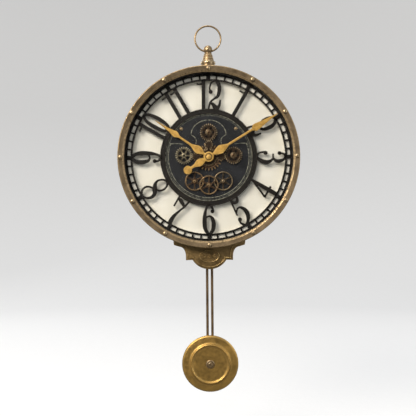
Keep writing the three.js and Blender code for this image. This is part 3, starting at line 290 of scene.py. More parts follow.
# %% Flat plates with cut-outs
def plate(outlines, back, front, edge):
    """A sheet from back to front cut to closed outlines of (x, z), with its edges rounded by edge. The
    round is marked as worn."""
    flat = bpy.data.curves.new("outline", "CURVE")
    flat.dimensions, flat.fill_mode = "2D", "BOTH"
    flat.extrude, flat.bevel_depth, flat.offset = (back - front) / 2 - edge, edge, -edge
    flat.bevel_resolution = 1
    for outline in outlines:
        points = np.asarray(outline, float)
        spline = flat.splines.new("POLY")
        spline.points.add(len(points) - 1)
        flat_points = np.column_stack([points, np.zeros(len(points)), np.ones(len(points))])
        spline.points.foreach_set("co", flat_points.ravel())
        spline.use_cyclic_u = True
    holder = bpy.data.objects.new("outline", flat)
    bpy.context.scene.collection.objects.link(holder)
    mesh = holder.evaluated_get(bpy.context.evaluated_depsgraph_get()).to_mesh()
    co = np.empty(len(mesh.vertices) * 3)
    mesh.vertices.foreach_get("co", co)
    faces = [list(face.vertices) for face in mesh.polygons]
    holder.evaluated_get(bpy.context.evaluated_depsgraph_get()).to_mesh_clear()
    bpy.data.objects.remove(holder)
    bpy.data.curves.remove(flat)
    x, z, out = co.reshape(-1, 3).T
    depth = (back - front) / 2 - np.abs(out)
    wear = ((depth < edge * 0.95) & (depth > edge * 0.05)).astype(float)
    return np.column_stack([x, (back + front) / 2 - out, z]), wear, faces


def circle(centre, r, sides=64):
    """A closed circle of (x, z): centre + r (sin a, cos a)."""
    a = np.arange(sides) * TURN / sides
    return np.asarray(centre) + r * np.column_stack([np.sin(a), np.cos(a)])


def clockwise(degrees, r):
    """The offset (x, z) at a clockwise angle from twelve o'clock: r (sin a, cos a)."""
    a = np.radians(degrees)
    return np.stack([r * np.sin(a), r * np.cos(a)], axis=-1)


def block(x, y, z, edge=0.6):
    """A box between pairs of x, y and z whose edges are cut back by edge: rounded rectangles stacked
    along Y, the first and the last one smaller."""
    centre = np.array([sum(x), sum(z)]) / 2
    half = np.array([x[1] - x[0], z[1] - z[0]]) / 2
    a = np.radians(np.concatenate([np.linspace(q + 3, q + 87, 5) for q in (0, 90, 180, 270)]))
    turn = np.column_stack([np.sin(a), np.cos(a)])
    rings = []
    for inset, y_at in [(edge, y[0]), (edge * 0.3, y[0] + edge * 0.3), (0, y[0] + edge), (0, y[1] - edge),
                        (edge * 0.3, y[1] - edge * 0.3), (edge, y[1])]:
        flat = centre + np.sign(turn) * (half - edge) + turn * (edge - inset)
        rings.append(np.column_stack([flat[:, 0], np.full(len(flat), y_at), flat[:, 1]]))
    mark = np.array([0.2, 1, 0.2, 0.2, 1, 0.2])[:, None]
    return capped(surface(np.array(rings), mark, close_rows=False), len(a))


# %% [markdown]
# A finish belongs to a slot of the record, so that each piece says what it is made of in one word. A
# clock like this is sold as antique, but its metal is painted and lacquered steel, with a little real
# brass. What the eye sees is a dark coat in the hollows, a middle tone on the faces, and the edges
# rubbed bright. Three colours, one soft cloud of noise and the wear mark give exactly that.

# %% Colours and nodes
def linear(code):
    """An sRGB hex colour as linear light with an alpha of 1: ((c + 0.055) / 1.055) ^ 2.4, or c / 12.92."""
    c = np.array([int(code[i : i + 2], 16) for i in (1, 3, 5)]) / 255
    light = np.where(c <= 0.04045, c / 12.92, ((c + 0.055) / 1.055) ** 2.4)
    return (*light.tolist(), 1.0)


def add(tree, kind, inputs=None, stops=None, **settings):
    """Adds one node. Settings go to its properties, inputs to its sockets, as a value or a link, and
    stops are the places and colours of a colour ramp."""
    made = tree.nodes.new("ShaderNode" + kind)
    for name, value in settings.items():
        setattr(made, name, value)
    for name, value in (inputs or {}).items():
        if isinstance(value, bpy.types.NodeSocket):
            tree.links.new(value, made.inputs[name])
        else:
            made.inputs[name].default_value = value
    for i, (place, code) in enumerate(stops or []):
        mark = made.color_ramp.elements[i] if i < 2 else made.color_ramp.elements.new(place)
        mark.position, mark.color = place, linear(code)
    return made


def per_mm(size):
    """The scale of a pattern whose cells are size millimetres wide, on coordinates in metres."""
    return 1 / (size * MM)


FINISHES = {}
MIX_A, MIX_B = 6, 7


def coat(slot, deep, plain, rubbed, metallic, rough, mottle=14.0, grain=0.9, bump=0.12, rub=0.85,
         rough_spread=0.10, centre=None, clear=0.0, contrast=(0.33, 0.66), shine=0.5):
    """A finish in three tones: deep in the clouds of noise, plain over most of it, and rubbed where the
    wear mark is high. Roughness falls where it is rubbed, and a fine grain gives the bump. With a
    centre, the grain runs in circles round it, as a lathe or a polishing wheel leaves it."""
    made = bpy.data.materials.new(slot)
    made.use_nodes = True
    tree = made.node_tree
    shader, place = tree.nodes["Principled BSDF"], add(tree, "TexCoord").outputs["Object"]
    cloud = add(tree, "TexNoise", {"Vector": place, "Scale": per_mm(mottle), "Detail": 5.0,
                                   "Roughness": 0.62})
    tone = add(tree, "ValToRGB", {"Fac": cloud.outputs["Fac"]},
               stops=[(contrast[0], deep), (contrast[1], plain)])
    speck = add(tree, "TexNoise", {"Vector": place, "Scale": per_mm(mottle / 4.5), "Detail": 4.0})
    worn = add(tree, "Attribute", attribute_name="worn").outputs["Fac"]
    patchy = add(tree, "MapRange", {"Value": speck.outputs["Fac"], "From Min": 0.35, "From Max": 0.6})
    rubbing = add(tree, "Math", {0: worn, 1: patchy.outputs["Result"]}, operation="MULTIPLY")
    amount = add(tree, "Math", {0: rubbing.outputs["Value"], 1: rub}, operation="MULTIPLY", use_clamp=True)
    colour = add(tree, "Mix", {0: amount.outputs["Value"], MIX_A: tone.outputs["Color"],
                               MIX_B: linear(rubbed)}, data_type="RGBA")
    tree.links.new(colour.outputs[2], shader.inputs["Base Color"])
    smear = add(tree, "MapRange", {"Value": speck.outputs["Fac"], "From Min": 0.3, "From Max": 0.7,
                                   "To Min": rough + rough_spread, "To Max": rough - rough_spread})
    polish = add(tree, "Math", {0: amount.outputs["Value"], 1: -0.14, 2: smear.outputs["Result"]},
                 operation="MULTIPLY_ADD")
    tree.links.new(polish.outputs["Value"], shader.inputs["Roughness"])
    if centre is None:
        fine = add(tree, "TexNoise", {"Vector": place, "Scale": per_mm(grain), "Detail": 3.0})
    else:
        flat = add(tree, "Mapping", {"Vector": place, "Location": (-centre[0] * MM, 0, -centre[1] * MM),
                                     "Scale": (1, 0, 1)})
        ring = add(tree, "VectorMath", {0: flat.outputs["Vector"]}, operation="LENGTH")
        fine = add(tree, "TexNoise", {"W": ring.outputs["Value"], "Scale": per_mm(grain), "Detail": 4.0},
                   noise_dimensions="1D")
    relief = add(tree, "Bump", {"Height": fine.outputs["Fac"], "Strength": 1.0, "Distance": bump * MM})
    tree.links.new(relief.outputs["Normal"], shader.inputs["Normal"])
    shader.inputs["Metallic"].default_value = metallic
    shader.inputs["Coat Weight"].default_value = clear
    if metallic < 0.5:
        shader.inputs["Specular IOR Level"].default_value = shine
    FINISHES[slot] = made
    return made


# %% [markdown]
# The case is pressed steel under a bronze lacquer, dark in its clouds and rubbed golden on its edges.
# The apron is the same lacquer with more yellow. Rivets, pendant and ring are brass-plated, so they are
# a little smoother and their rubbed colour is light. The bob is spun from sheet: its fine grain runs in
# circles round its own middle.

# %% Bronze and brass
coat("case_bronze", "#5F503B", "#88755A", "#BFA479", 0.75, 0.48, mottle=16, bump=0.05)
coat("apron_brass", "#75603C", "#AA8C5C", "#E0BE80", 0.8, 0.44, mottle=12, bump=0.06)
coat("bright_brass", "#69533A", "#A38760", "#D8C198", 0.85, 0.40, mottle=7, bump=0.03)
coat("bush_brass", "#8E7642", "#C4A45E", "#E3C988", 1.0, 0.32, mottle=9, bump=0.03)
coat("rod_bronze", "#5A4733", "#8B7150", "#B99A6C", 0.75, 0.42, mottle=22, bump=0.04)
coat("bob_brass", "#AE8B4C", "#D0A65A", "#EECB82", 0.85, 0.42, mottle=20, grain=0.55, bump=0.02,
     centre=(0, sum(reach("bob_front", "Z")) / 2))
print("metal finishes:", len(FINISHES))

# %% [markdown]
# The gears are stamped from sheet and darkened, and their tooth tips are dry-brushed with a pale metal
# colour, which is what makes them read at a distance. The hands carry a matte ochre gold paint with a
# hammered surface: dents about 3 mm wide and a tenth of a millimetre deep.

# %% Gears and hands
coat("gear_bronze", "#1C140E", "#3E3022", "#D2B88E", 0.75, 0.42, mottle=6, bump=0.05, rub=1.0)
coat("gear_red_bronze", "#261910", "#4C3727", "#CDAA78", 0.75, 0.40, mottle=6, bump=0.05, rub=1.0)
coat("gear_pale", "#443D2F", "#7A6F57", "#D2C6A4", 0.75, 0.42, mottle=6, bump=0.05, rub=1.0)
coat("hand_gold", "#8E6A2A", "#C3994A", "#E2C177", 0.35, 0.44, mottle=5, grain=2.4, bump=0.3, rub=0.5)

# %% [markdown]
# Paint has no metal in it. The numerals are satin black; the wear mark turns their front edges a paler
# brownish grey, partly rubbed paint and partly a painted highlight where the edges catch the light. The
# panel behind them is ivory enamel that has aged in faint clouds. The disc is charcoal, and the lines
# that stand up from it are worn to a grey green, which the wear mark gives.

# %% Paints, plastic, rubber and steel
# The rubbed tone of this black, on the edges of the numerals, is partly rubbed paint and partly painted
# highlight.
coat("black_paint", "#12100D", "#1C1814", "#4E4637", 0.1, 0.55, mottle=18, bump=0.05, rub=0.5, shine=0.2)
coat("cream_paint", "#D0CBBC", "#D9D5C9", "#C6BB9C", 0.0, 0.55, mottle=34, grain=1.6, bump=0.03)
coat("disc_paint", "#141517", "#242527", "#A5A38E", 0.1, 0.6, mottle=15, grain=0.8, bump=0.06, rub=1.0,
     shine=0.2)
coat("black_plastic", "#17171A", "#212124", "#34343A", 0.0, 0.5, mottle=30, grain=0.45, bump=0.05, rub=0.4)
coat("battery_sleeve", "#2B4A3A", "#3C6350", "#8FA79A", 0.35, 0.33, mottle=40, bump=0.01, clear=0.4)
coat("hanger_steel", "#8C8A85", "#B4B1AA", "#D4D2CC", 1.0, 0.36, mottle=5, grain=0.7, bump=0.03)
coat("magnet_steel", "#84868A", "#A9ABAE", "#D0D2D4", 1.0, 0.24, mottle=9, bump=0.01)
coat("bumper_rubber", "#191919", "#242424", "#3A3A3A", 0.0, 0.82, mottle=4, grain=0.5, bump=0.06, rub=0.3)

# %% [markdown]
# Clear float glass is flat, smooth and almost colourless, with the faint green of its iron at the edge.
# This is the non-glare kind, which hardly mirrors the room, so most of it is simply let through.
# The pane casts no shadow, because a shadow ray through real glass would need caustics to find the
# lamps again. The lamps and the world reach the dial along those free rays, so they are kept out of the
# rays bent by the pane, or their light would count twice.

# %% Glass
glass = bpy.data.materials.new("clear_glass")
glass.use_nodes = True
clear = glass.node_tree.nodes["Principled BSDF"].inputs
clear["Base Color"].default_value = linear("#F4F8F7")
clear["Transmission Weight"].default_value = 1.0
clear["Roughness"].default_value = 0.0
clear["IOR"].default_value = 1.45
clear["Alpha"].default_value = 0.12
FINISHES["clear_glass"] = glass

slots = {row["node"]: row["material_slot"] for row in frame["record"]["subparts"]}
for name, node in frame["nodes"].items():
    node.data.materials.clear()
    node.data.materials.append(FINISHES[slots[name]])
print("finishes:", len(FINISHES))


# %% [markdown]
# A piece is one or more surfaces in one mesh. Points that meet are welded, which closes the poles and
# the seams, and the faces are turned outwards. Faces are shaded smooth up to an angle of 40 degrees and
# crisp past it. Then the piece rides on the body of its first node and takes that node's slot, unless
# another slot is given.

# %% From surfaces to a piece
BODY_OF = {node: body for body, nodes in frame["record"]["behaviour"]["bodies"].items() for node in nodes}


def piece(name, parts, *nodes, slot=None, sharp=40):
    """One object made of surfaces, which takes the body and, unless another is given, the slot of its first
    node.
    """
    faces, offset = [], 0
    for points, _, part_faces in parts:
        faces += [[i + offset for i in face] for face in part_faces]
        offset += len(points)
    mesh = bpy.data.meshes.new(name)
    mesh.from_pydata((np.vstack([part[0] for part in parts]) * MM).tolist(), [], faces)
    worn = mesh.attributes.new("worn", "FLOAT", "POINT")
    worn.data.foreach_set("value", np.concatenate([part[1] for part in parts]).astype(np.float32))
    work = bmesh.new()
    work.from_mesh(mesh)
    bmesh.ops.remove_doubles(work, verts=work.verts, dist=2e-7)
    bmesh.ops.recalc_face_normals(work, faces=work.faces)
    work.to_mesh(mesh)
    work.free()
    mesh.shade_smooth()
    mesh.set_sharp_from_angle(angle=np.radians(sharp))
    made = bpy.data.objects.new(name, mesh)
    bpy.context.scene.collection.objects.link(made)
    slot = slot or slots[nodes[0]]
    mesh.materials.append(FINISHES[slot])
    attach(made, BODY_OF[nodes[0]])
    print(f"{name}: {len(mesh.polygons)} faces, {slot}")
    return made


def stand_in(name, parts, *nodes, **options):
    """A piece that replaces the nodes it stands for."""
    made = piece(name, parts, *nodes, **options)
    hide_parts(*nodes)
    return made


def cut(made, parts):
    """Takes closed surfaces out of a piece, with an exact Boolean that is applied at once."""
    tool = piece("cutter", parts, "case_drum")
    change = made.modifiers.new("cut", "BOOLEAN")
    change.operation, change.solver, change.object = "DIFFERENCE", "EXACT", tool
    change.use_self = True
    graph = bpy.context.evaluated_depsgraph_get()
    mesh = bpy.data.meshes.new_from_object(made.evaluated_get(graph), depsgraph=graph)
    made.modifiers.clear()
    old, made.data = made.data, mesh
    mesh.name = made.name
    bpy.data.meshes.remove(old)
    bpy.data.objects.remove(tool)
    mesh.set_sharp_from_angle(angle=np.radians(40))
    return made


# %% [markdown]
# The drum is one turned shell: a wall, a flange in front for the rivets, a ledge inside that seats the
# dial, and a flange at the back that stiffens it. The profile is the same section as a pressed and
# spun case has. A notch in the lower back lets the rods swing, and it is cut out after turning.

# %% Case drum
WALL = 1.5
drum_r = BEZEL_R - 6.5
bore_r = drum_r - WALL
flange_r = radius_of("case_drum")
rear_bore_r = bore_r - 12
ledge_r = bore_r - 3.5
drum_profile = [
    (rear_bore_r, drum_back), (drum_r, drum_back), (drum_r, drum_front + WALL), (flange_r, drum_front + WALL),
    (flange_r, drum_front), (bore_r, drum_front), (bore_r, plate_back + 0.3), (ledge_r, plate_back + 0.3),
    (ledge_r, panel_front - 0.3), (bore_r, panel_front - 0.3), (bore_r, drum_back - WALL),
    (rear_bore_r, drum_back - WALL),
]
drum = stand_in("case_shell", [turned(rounded(drum_profile, 0.7), HUB, sides=240)], "case_drum")
rod_left, rod_right = reach("rod_left", "X")[0], reach("rod_right", "X")[1]
swing_out = (drum_r - 8) * np.tan(max(np.radians(JOINTS["pendulum_swing"]["range_deg"]))) + 3
notch = block((rod_left - swing_out, rod_right + swing_out), (reach("rod_left", "Y")[0] - 3, drum_back + 2),
              (HUB[1] - drum_r - 2, HUB[1] - rear_bore_r + 8), edge=0.8)
cut(drum, [notch])

# %% [markdown]
# The bezel is the ring that frames the dial. Its face dishes in by a millimetre from a rounded rim, and
# a thin step runs round the opening. Its skirt slips over the drum's flange, and twelve domed rivets
# hold the two together.

# %% Bezel and rivets
opening_r = BEZEL_R - 10.0
bezel_profile = [
    (opening_r, bezel_front + 2.7), (opening_r, bezel_front + 1.9), (opening_r + 1.5, bezel_front + 1.6),
    (opening_r + 2.3, bezel_front + 1.0), (BEZEL_R - 0.9, bezel_front), (BEZEL_R, bezel_front + 0.9),
    (BEZEL_R, bezel_skirt_end), (BEZEL_R - 0.9, bezel_skirt_end), (BEZEL_R - 0.9, bezel_front + 2.5),
]
stand_in("bezel", [turned(rounded(bezel_profile, 0.55), HUB, sides=288)], "bezel_ring")

RIVET_R, RIVET_H, SHANK_R = 3.3, 1.9, 1.2
dome = np.linspace(0, np.pi / 2, 9)


def middle_of(node):
    """The x and z of the middle of a node's box, in millimetres."""
    low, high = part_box(node)
    return (low[0] + high[0]) / 2 / MM, (low[2] + high[2]) / 2 / MM


for number in range(1, 13):
    node = f"bezel_rivet_{number:02d}"
    front, back = reach(node, "Y")
    head = front + RIVET_H
    crown = [(RIVET_R * np.sin(a), head - RIVET_H * np.cos(a), 0.25 + 0.75 * np.cos(a)) for a in dome]
    crown[0] = (0, front, 1)
    shank = [(RIVET_R, head + 0.15, 0), (SHANK_R, head + 0.15, 0), (SHANK_R, back, 0), (0, back, 0)]
    stand_in(f"rivet_{number:02d}", [turned(crown + shank, middle_of(node), sides=28)], node)

# %% [markdown]
# The glass is a flat pane, and a black spacer ring keeps it off the dial so that the hands have room.
# The ivory panel has a raised lip close behind the minute track, so the track's windows look bright.

# %% Glass and spacer
seat_r = radius_of("glass_lens")
pane = rounded(barrel(seat_r, glass_front, glass_back), 0.3)
lens = stand_in("glass_pane", [turned(pane, HUB, sides=192)], "glass_lens")
lens.visible_shadow = False
spacer_front, spacer_back = reach("lens_spacer", "Y")
spacer = rounded(barrel(seat_r, spacer_front, spacer_back, bore=seat_r - 2.1), 0.3)
stand_in("spacer_ring", [turned(spacer, HUB, sides=192)], "lens_spacer")
panel = rounded(barrel(seat_r, panel_front, panel_back), 0.2)
stand_in("ivory_panel", [turned(panel, HUB, sides=192)], "dial_panel")
lip = rounded(barrel(bore_r - 3.9, plate_back + 0.8, panel_front, bore=bore_r - 12), 0.3, wear=0)
piece("ivory_lip", [turned(lip, HUB, sides=192)], "dial_panel")

# %% [markdown]
# The minute track and the numerals are one sheet of metal: a ring with sixty windows, an inner ring
# over the disc, and numerals that bridge the two. The track is a flat plate with cut-outs. Each numeral
# is drawn with a few strokes, as a sign writer would: a stroke is a line whose width swells and thins,
# and its stops are [across, up, width]. A ball ends the thin strokes of a 2, a 3, a 5 or a 6.

# %% Numeral strokes
SIX = {
    "strokes": [
        [[5.4, 14, 2.6], [4.6, 19.2, 2.6], [-0.6, 23.6, 3.4], [-4.8, 16.5, 2.6], [-6.6, 6, 4.6],
         [-6.9, -6, 5.4],
         [-5.6, -15.5, 4.6], [-1.2, -23, 3.4]],
        [[-5, 3.6, 1.6], [0.4, 5.7, 1.9], [4.6, 2.4, 3.8], [6.6, -6, 5.4], [5.6, -15.5, 4.8],
         [1.2, -23, 3.4]],
    ],
    "balls": [[5, 13.4, 2.7]],
}
GLYPHS = {
    0: {"strokes": [
        [[-0.6, 23.4, 3], [5, 16.5, 3.4], [6.8, 0, 4.8], [5, -16.5, 3.4], [-0.6, -23.4, 3]],
        [[0.6, 23.4, 3], [-5, 16.5, 3.4], [-6.8, 0, 4.8], [-5, -16.5, 3.4], [0.6, -23.4, 3]]]},
    1: {"strokes": [[[0, 24, 4.4], [0, -24, 4.4]], [[0, 18, 2.2], [-5, 16.9, 1.8], [-10.2, 16.9, 1.6]]]},
    2: {"strokes": [
        [[-6.6, 5, 2.2], [-7, 12, 1.8], [-4, 19.6, 1.9], [1.2, 22.6, 3.2], [6, 18, 4.2], [7.6, 9.2, 4.8],
         [5.2, -1.9, 3.8], [-1.1, -6.9, 2.1], [-6.4, -12.4, 2.1], [-9.4, -24.5, 1.9]],
        [[-7, -13.4, 2], [-2.5, -15, 3.8], [2.4, -20.8, 6.6], [7, -17.2, 3.4], [8.8, -8.2, 1.5]]],
        "balls": [[-5.7, 4.7, 2.8]]},
    3: {"strokes": [
        [[-6, 14, 2.2], [-4.6, 19.6, 2.2], [-0.4, 22.6, 3], [4, 19.4, 3], [6.4, 13, 4.8], [5.6, 7, 3.6],
         [2, 3.2, 1.9]],
        [[2.6, 3, 1.9], [-4.8, 3, 1.7]],
        [[2, 3.4, 1.9], [6.4, -1.5, 3.6], [8.1, -8, 5.6], [5.6, -16, 4.8], [0, -22.8, 3.4], [-6, -19, 2.1],
         [-7.6, -10, 2.2]]],
        "balls": [[-5.6, 13.2, 2.7], [-6.1, -9, 2.9]]},
    4: {"strokes": [
        [[2.6, 24, 2.4], [2, 8, 4.6], [1.9, -24, 5]], [[3, 22, 1.9], [-10.2, -9.2, 1.9]],
        [[-11, -9.2, 2.1], [8, -9.2, 2.3]]]},
    5: {"strokes": [
        [[-4.4, 24.5, 1.9], [-7.4, -3.6, 1.7]],
        [[-7, 0.4, 1.6], [-2, 5.6, 1.9], [2.9, 5.3, 2.6], [7, -1.5, 4.6], [7.1, -10, 5.2], [2.8, -19, 3.6],
         [-3.6, -22.8, 3], [-8.2, -17, 2.2], [-8, -12, 2.4]],
        [[-5.2, 21.4, 2.8], [-1.4, 16.6, 4.2], [3.4, 16.4, 4], [6.6, 24.5, 2.2]]],
        "balls": [[-6.9, -11, 2.9]]},
    6: SIX,
    7: {"strokes": [
        [[-9.2, 24.5, 1.9], [-9.3, 4.5, 1.7]],
        [[-9.2, 19.4, 2.6], [-4.3, 17.5, 5], [1, 14.3, 4], [5.2, 11.4, 2]],
        [[7.8, 24.5, 2.1], [5, 11.5, 2.3], [2.4, 5, 2], [-0.5, -3.7, 3], [-2.4, -12, 4.8], [-2.2, -24, 6]]]},
    8: {"strokes": [
        [[3, -2.6, 5], [-2.6, 1.4, 5.4], [-7, 5.8, 3.4], [-8.3, 11.6, 2.1], [-5.6, 18.6, 2.1], [0, 23, 3.2],
         [5.6, 18.4, 2], [7.5, 12, 2.1], [5.8, 5, 2.2], [1, 0.8, 2]],
        [[-3, 2.4, 5], [2.6, -1.4, 5.4], [7, -5.6, 4.6], [8.2, -12, 3.4], [5, -19, 2.4], [-1.4, -23.2, 3.2],
         [-7.6, -19, 2.1], [-9.6, -12, 2.1], [-7, -5.6, 2.1], [0, -0.4, 2]]]},
}
HALF_TURN = np.array([-1, -1, 1])
GLYPHS[9] = {kind: [(np.array(row) * HALF_TURN).tolist() for row in rows] for kind, rows in SIX.items()}
# Each hour's figures, with the place of each across the numeral.
NUMERALS = [[(1, 1)], [(2, 0)], [(3, 0)], [(4, 0)], [(5, 0)], [(6, 0)], [(7, 0)], [(8, 0)], [(9, 0)],
            [(1, -7.8), (0, 6.4)], [(1, -7), (1, 7.6)], [(1, -7.3), (2, 9.3)]]

# %% [markdown]
# A numeral stands on the line from the hub to its hour. The hours from four to eight are set the other
# way round, so that they don't stand on their heads. Their strokes are drawn for a numeral of 44 mm,
# and that height is scaled to the space between the two rings.

# %% Numerals and minute track
track_out = opening_r - 3.0
track_in = track_out - 4.7
chapter_in = track_in - 2.9
DISC_R = radius_of("gear_disc") + 0.3
INNER_R = DISC_R + 1.7
EDGE = 0.25
DRAWN_TALL = 44


def numeral(hour):
    """The strokes and balls of one hour: turn by the hour's angle, then move out to the middle radius.
    Strokes that cross lie at slightly different heights, so that no two faces share a plane."""
    angle = np.radians(30 * hour + (180 if 3 < hour < 9 else 0))
    middle = HUB + clockwise(30 * hour, (chapter_in + INNER_R) / 2)
    spin = np.array([[np.cos(angle), -np.sin(angle)], [np.sin(angle), np.cos(angle)]])
    scale = np.array([1, (chapter_in - INNER_R) / DRAWN_TALL])
    parts = []
    for figure, across in NUMERALS[hour - 1]:
        for stops in GLYPHS[figure]["strokes"]:
            line = smooth(stops, 8)
            flat = (line[:, :2] * scale + [across, 0]) @ spin + middle
            half = (line[:, 2] * 1.08 + 0.8) / 2
            front = plate_front + 0.02 * (len(parts) % 3)
            # The worn front edges of each stroke are partly rubbed paint and partly a painted highlight along
            # the edge.
            parts.append(blade(flat, half, plate_back, front, EDGE, wear=0.4))
        for u, v, r in GLYPHS[figure].get("balls", []):
            centre = (np.array([u, v]) * scale + [across, 0]) @ spin + middle
            button = rounded(barrel(r + 0.3, plate_front, plate_back), 0.6)
            parts.append(turned(button, centre, sides=32))
    return parts


HOUR_BAR, MINUTE_BAR = 6.2, 2.5
middle_r = (track_in + track_out) / 2
windows = []
for minute in range(60):
    before = HOUR_BAR if minute % 5 == 0 else MINUTE_BAR
    after = HOUR_BAR if (minute + 1) % 5 == 0 else MINUTE_BAR
    start = 6 * minute + np.degrees(before / 2 / middle_r)
    end = 6 * minute + 6 - np.degrees(after / 2 / middle_r)
    arc = np.linspace(start, end, 5)
    windows.append(HUB + np.vstack([clockwise(arc, track_out), clockwise(arc[::-1], track_in)]))
rims = [circle(HUB, seat_r, 240), circle(HUB, chapter_in, 240)]
track = plate(rims + windows, plate_back, plate_front, EDGE)
inner_profile = rounded(barrel(INNER_R, plate_front, plate_back, bore=DISC_R - 5.8), 0.4)
inner_ring = turned(inner_profile, HUB, sides=160)
inner_bead = bead(circle(HUB, INNER_R - 1.0, 160), 0.6, 0.5, plate_front, wear=0.5)
numerals = [part for hour in range(1, 13) for part in numeral(hour)]
stand_in("chapter_plate", [track, inner_ring, inner_bead, *numerals], "chapter_ring")

# %% [markdown]
# The black disc closes the middle of the dial. It is pressed with beads: two circles near its rim, an
# arch over the top gear and a line round the lower gears. The beads stand half a millimetre proud, and
# their paint is worn away, so they show as pale lines. Two small brass screws hold the disc.

# %% Gear disc
disc_front, disc_back = disc_screw_front + 1.8, panel_front - 5.1
disc = turned(rounded(barrel(DISC_R - 0.3, disc_front, disc_back), 0.3), HUB, sides=160)
arch_half = [(19.4, 20.5), (18.6, 24.5), (20.2, 29.5), (24.2, 33.0), (26.3, 34.6), (25.2, 41.0), (21.2, 47.6),
             (14.6, 52.8), (6.5, 55.8)]
arch = smooth(arch_half + [(0, 56.4)] + [(-x, z) for x, z in arch_half[::-1]], 6)
around = clockwise(np.linspace(71, 289, 90), 61.0)
shelf = smooth([(around[0, 0], around[0, 1]), (56.6, 20.9), (48.0, 21.0), (38.6, 20.2)], 5)
lower_line = np.vstack([shelf[:0:-1], around, (shelf * [-1, 1])[1:]])
beads = [
    bead(circle(HUB, 65.4, 200), 0.7, 0.6, disc_front, wear=0.85),
    bead(circle(HUB, 63.3, 200), 0.45, 0.4, disc_front, wear=0.6),
    bead(HUB + arch, 0.62, 0.55, disc_front, closed=False),
    bead(HUB + lower_line, 0.62, 0.55, disc_front, closed=False),
]
stand_in("pressed_disc", [disc, *beads], "gear_disc")

for side in ("left", "right"):
    node = f"disc_screw_{side}"
    front, back = reach(node, "Y")
    seat = front + 1.5
    head = [(2.6 * np.sin(a), seat - 1.5 * np.cos(a), 0.5 + 0.5 * np.cos(a)) for a in dome]
    head[0] = (0, front, 1)
    thread = [(1.3, seat, 0), (1.3, back, 0), (0, back, 0)]
    stand_in(f"dome_screw_{side}", [turned(head + thread, middle_of(node), sides=28)], node)

# %% [markdown]
# A gear's outline repeats once a tooth. Here it is a function of the share of a tooth: low in the gap,
# high on the tooth, with sloping flanks between, which is close to the round flank of a clock tooth. A
# gear's section then runs from the bore out to the teeth and back, and only the rows near the rim
# follow the outline. Two wheels mesh when a tooth of one meets a gap of the other on the line between
# their axes, so each wheel's turn is worked out from its neighbour's.

# %% Teeth and mesh
PITCH_FRONT, PITCH_SHOW, PITCH_REAR = 1.04, 1.6, 1.4
TEETH = {"pinion": 24, "idler": 12, "wheel": 24, "show": 24, "drive": 46, "lower": 14, "motor": 8}


def tooth_line(teeth, module, phase, per_tooth=12):
    """How far the tooth outline stands out of the root circle round the gear, from 0 to 2.35 modules:
    1 while the share of a tooth is under 0.12, 0 past 0.29, and a straight flank between."""
    angle = np.arange(teeth * per_tooth) / (teeth * per_tooth) * 360
    share = ((angle - phase) * teeth / 360 + 0.5) % 1 - 0.5
    return np.clip((0.29 - np.abs(share)) / 0.17, 0, 1) * 2.35 * module


def root_of(teeth, module):
    """The root circle: half of teeth times module, less 1.5 modules."""
    return teeth * module / 2 - 1.5 * module


def mesh_phase(driver_teeth, driver_phase, teeth, direction):
    """The turn of a gear whose gap meets a tooth of its driver, which lies the other way."""
    share = (direction - driver_phase) * driver_teeth / 360
    return direction + 180 - (0.5 - share) * 360 / teeth


def gear(centre, teeth, module, phase, back, front, bore, web, hub, rim=1.5, sink=0.5, stand=0.5):
    """A toothed wheel whose section is radius, height, wear and the share of the tooth outline: a flat
    back, teeth with a small chamfer, a rim, a web sunk by sink, and a hub that stands proud in front."""
    root = root_of(teeth, module)
    rows = [
        (bore, back, 0, 0), (root - rim, back, 0, 0), (root - 0.1, back, 0.3, 0.9),
        (root, back - 0.2, 0.8, 1),
        (root, front + 0.25, 1.0, 1), (root - 0.12, front + 0.08, 1.0, 0.94), (root - 0.3, front, 0.9, 0.8),
        (root, front, 0.8, 0.3), (root - 0.2, front, 0.0, 0), (root - rim, front, 0.1, 0),
        (root - rim - 0.25, front + 0.15, 0.1, 0), (root - rim - 0.3, front + sink, 0, 0),
        (web + 0.3, front + sink, 0, 0), (web + 0.2, front + 0.15, 0.1, 0), (web, front, 0.3, 0),
        (hub, front, 0, 0), (hub - 0.1, front - 0.7 * stand, 0.4, 0), (hub - 0.4, front - stand, 0.4, 0),
        (bore, front - stand, 0.1, 0),
    ]
    return turned(rows, centre, sides=teeth * 12, outline=tooth_line(teeth, module, phase))


def toothed_ring(centre, teeth, module, phase, back, front, bore):
    """A plain gear without a web."""
    root = root_of(teeth, module)
    rows = [
        (bore, back, 0, 0), (root - 0.1, back, 0.3, 0.9), (root, back - 0.2, 0.8, 1),
        (root, front + 0.25, 1, 1),
        (root - 0.3, front, 0.9, 0.8), (root, front, 0.6, 0.3), (root - 0.3, front, 0.05, 0),
        (bore, front, 0.05, 0),
    ]
    return turned(rows, centre, sides=teeth * 12, outline=tooth_line(teeth, module, phase))


# %% [markdown]
# The centre gears turn on a sleeve round the hand bush. The show wheel is the broad one under the
# hands, reddish bronze with bright tips. The pinion in front of it drives the idlers.

# %% Centre gears
GEAR_T = 1.4
show_front = disc_front - 0.9 - GEAR_T
front_layer = plate_front - 0.3
sleeve_front, sleeve_back = reach("centre_wheel", "Y")
show = gear(HUB, TEETH["show"], PITCH_SHOW, 0, show_front + GEAR_T, show_front, 5.7, 14.0, 13.0,
            rim=1.6, sink=0.45, stand=0.02)
drill = rounded(barrel(1.5, show_front - 2, show_front + 4), 0.1)
holes = [turned(drill, HUB + clockwise(turn, 10.2), sides=20) for turn in range(0, 360, 45)]
cut(stand_in("show_wheel", [show], "centre_wheel"), holes)
sleeve = rounded(barrel(6.2, sleeve_front, sleeve_back, bore=4.4), 0.2)
piece("sleeve", [turned(sleeve, HUB, sides=48)], "centre_wheel")
pinion = toothed_ring(HUB, TEETH["pinion"], PITCH_FRONT, 0, front_layer, front_layer - GEAR_T, 6.5)
stand_in("pinion_gear", [pinion], "centre_pinion")

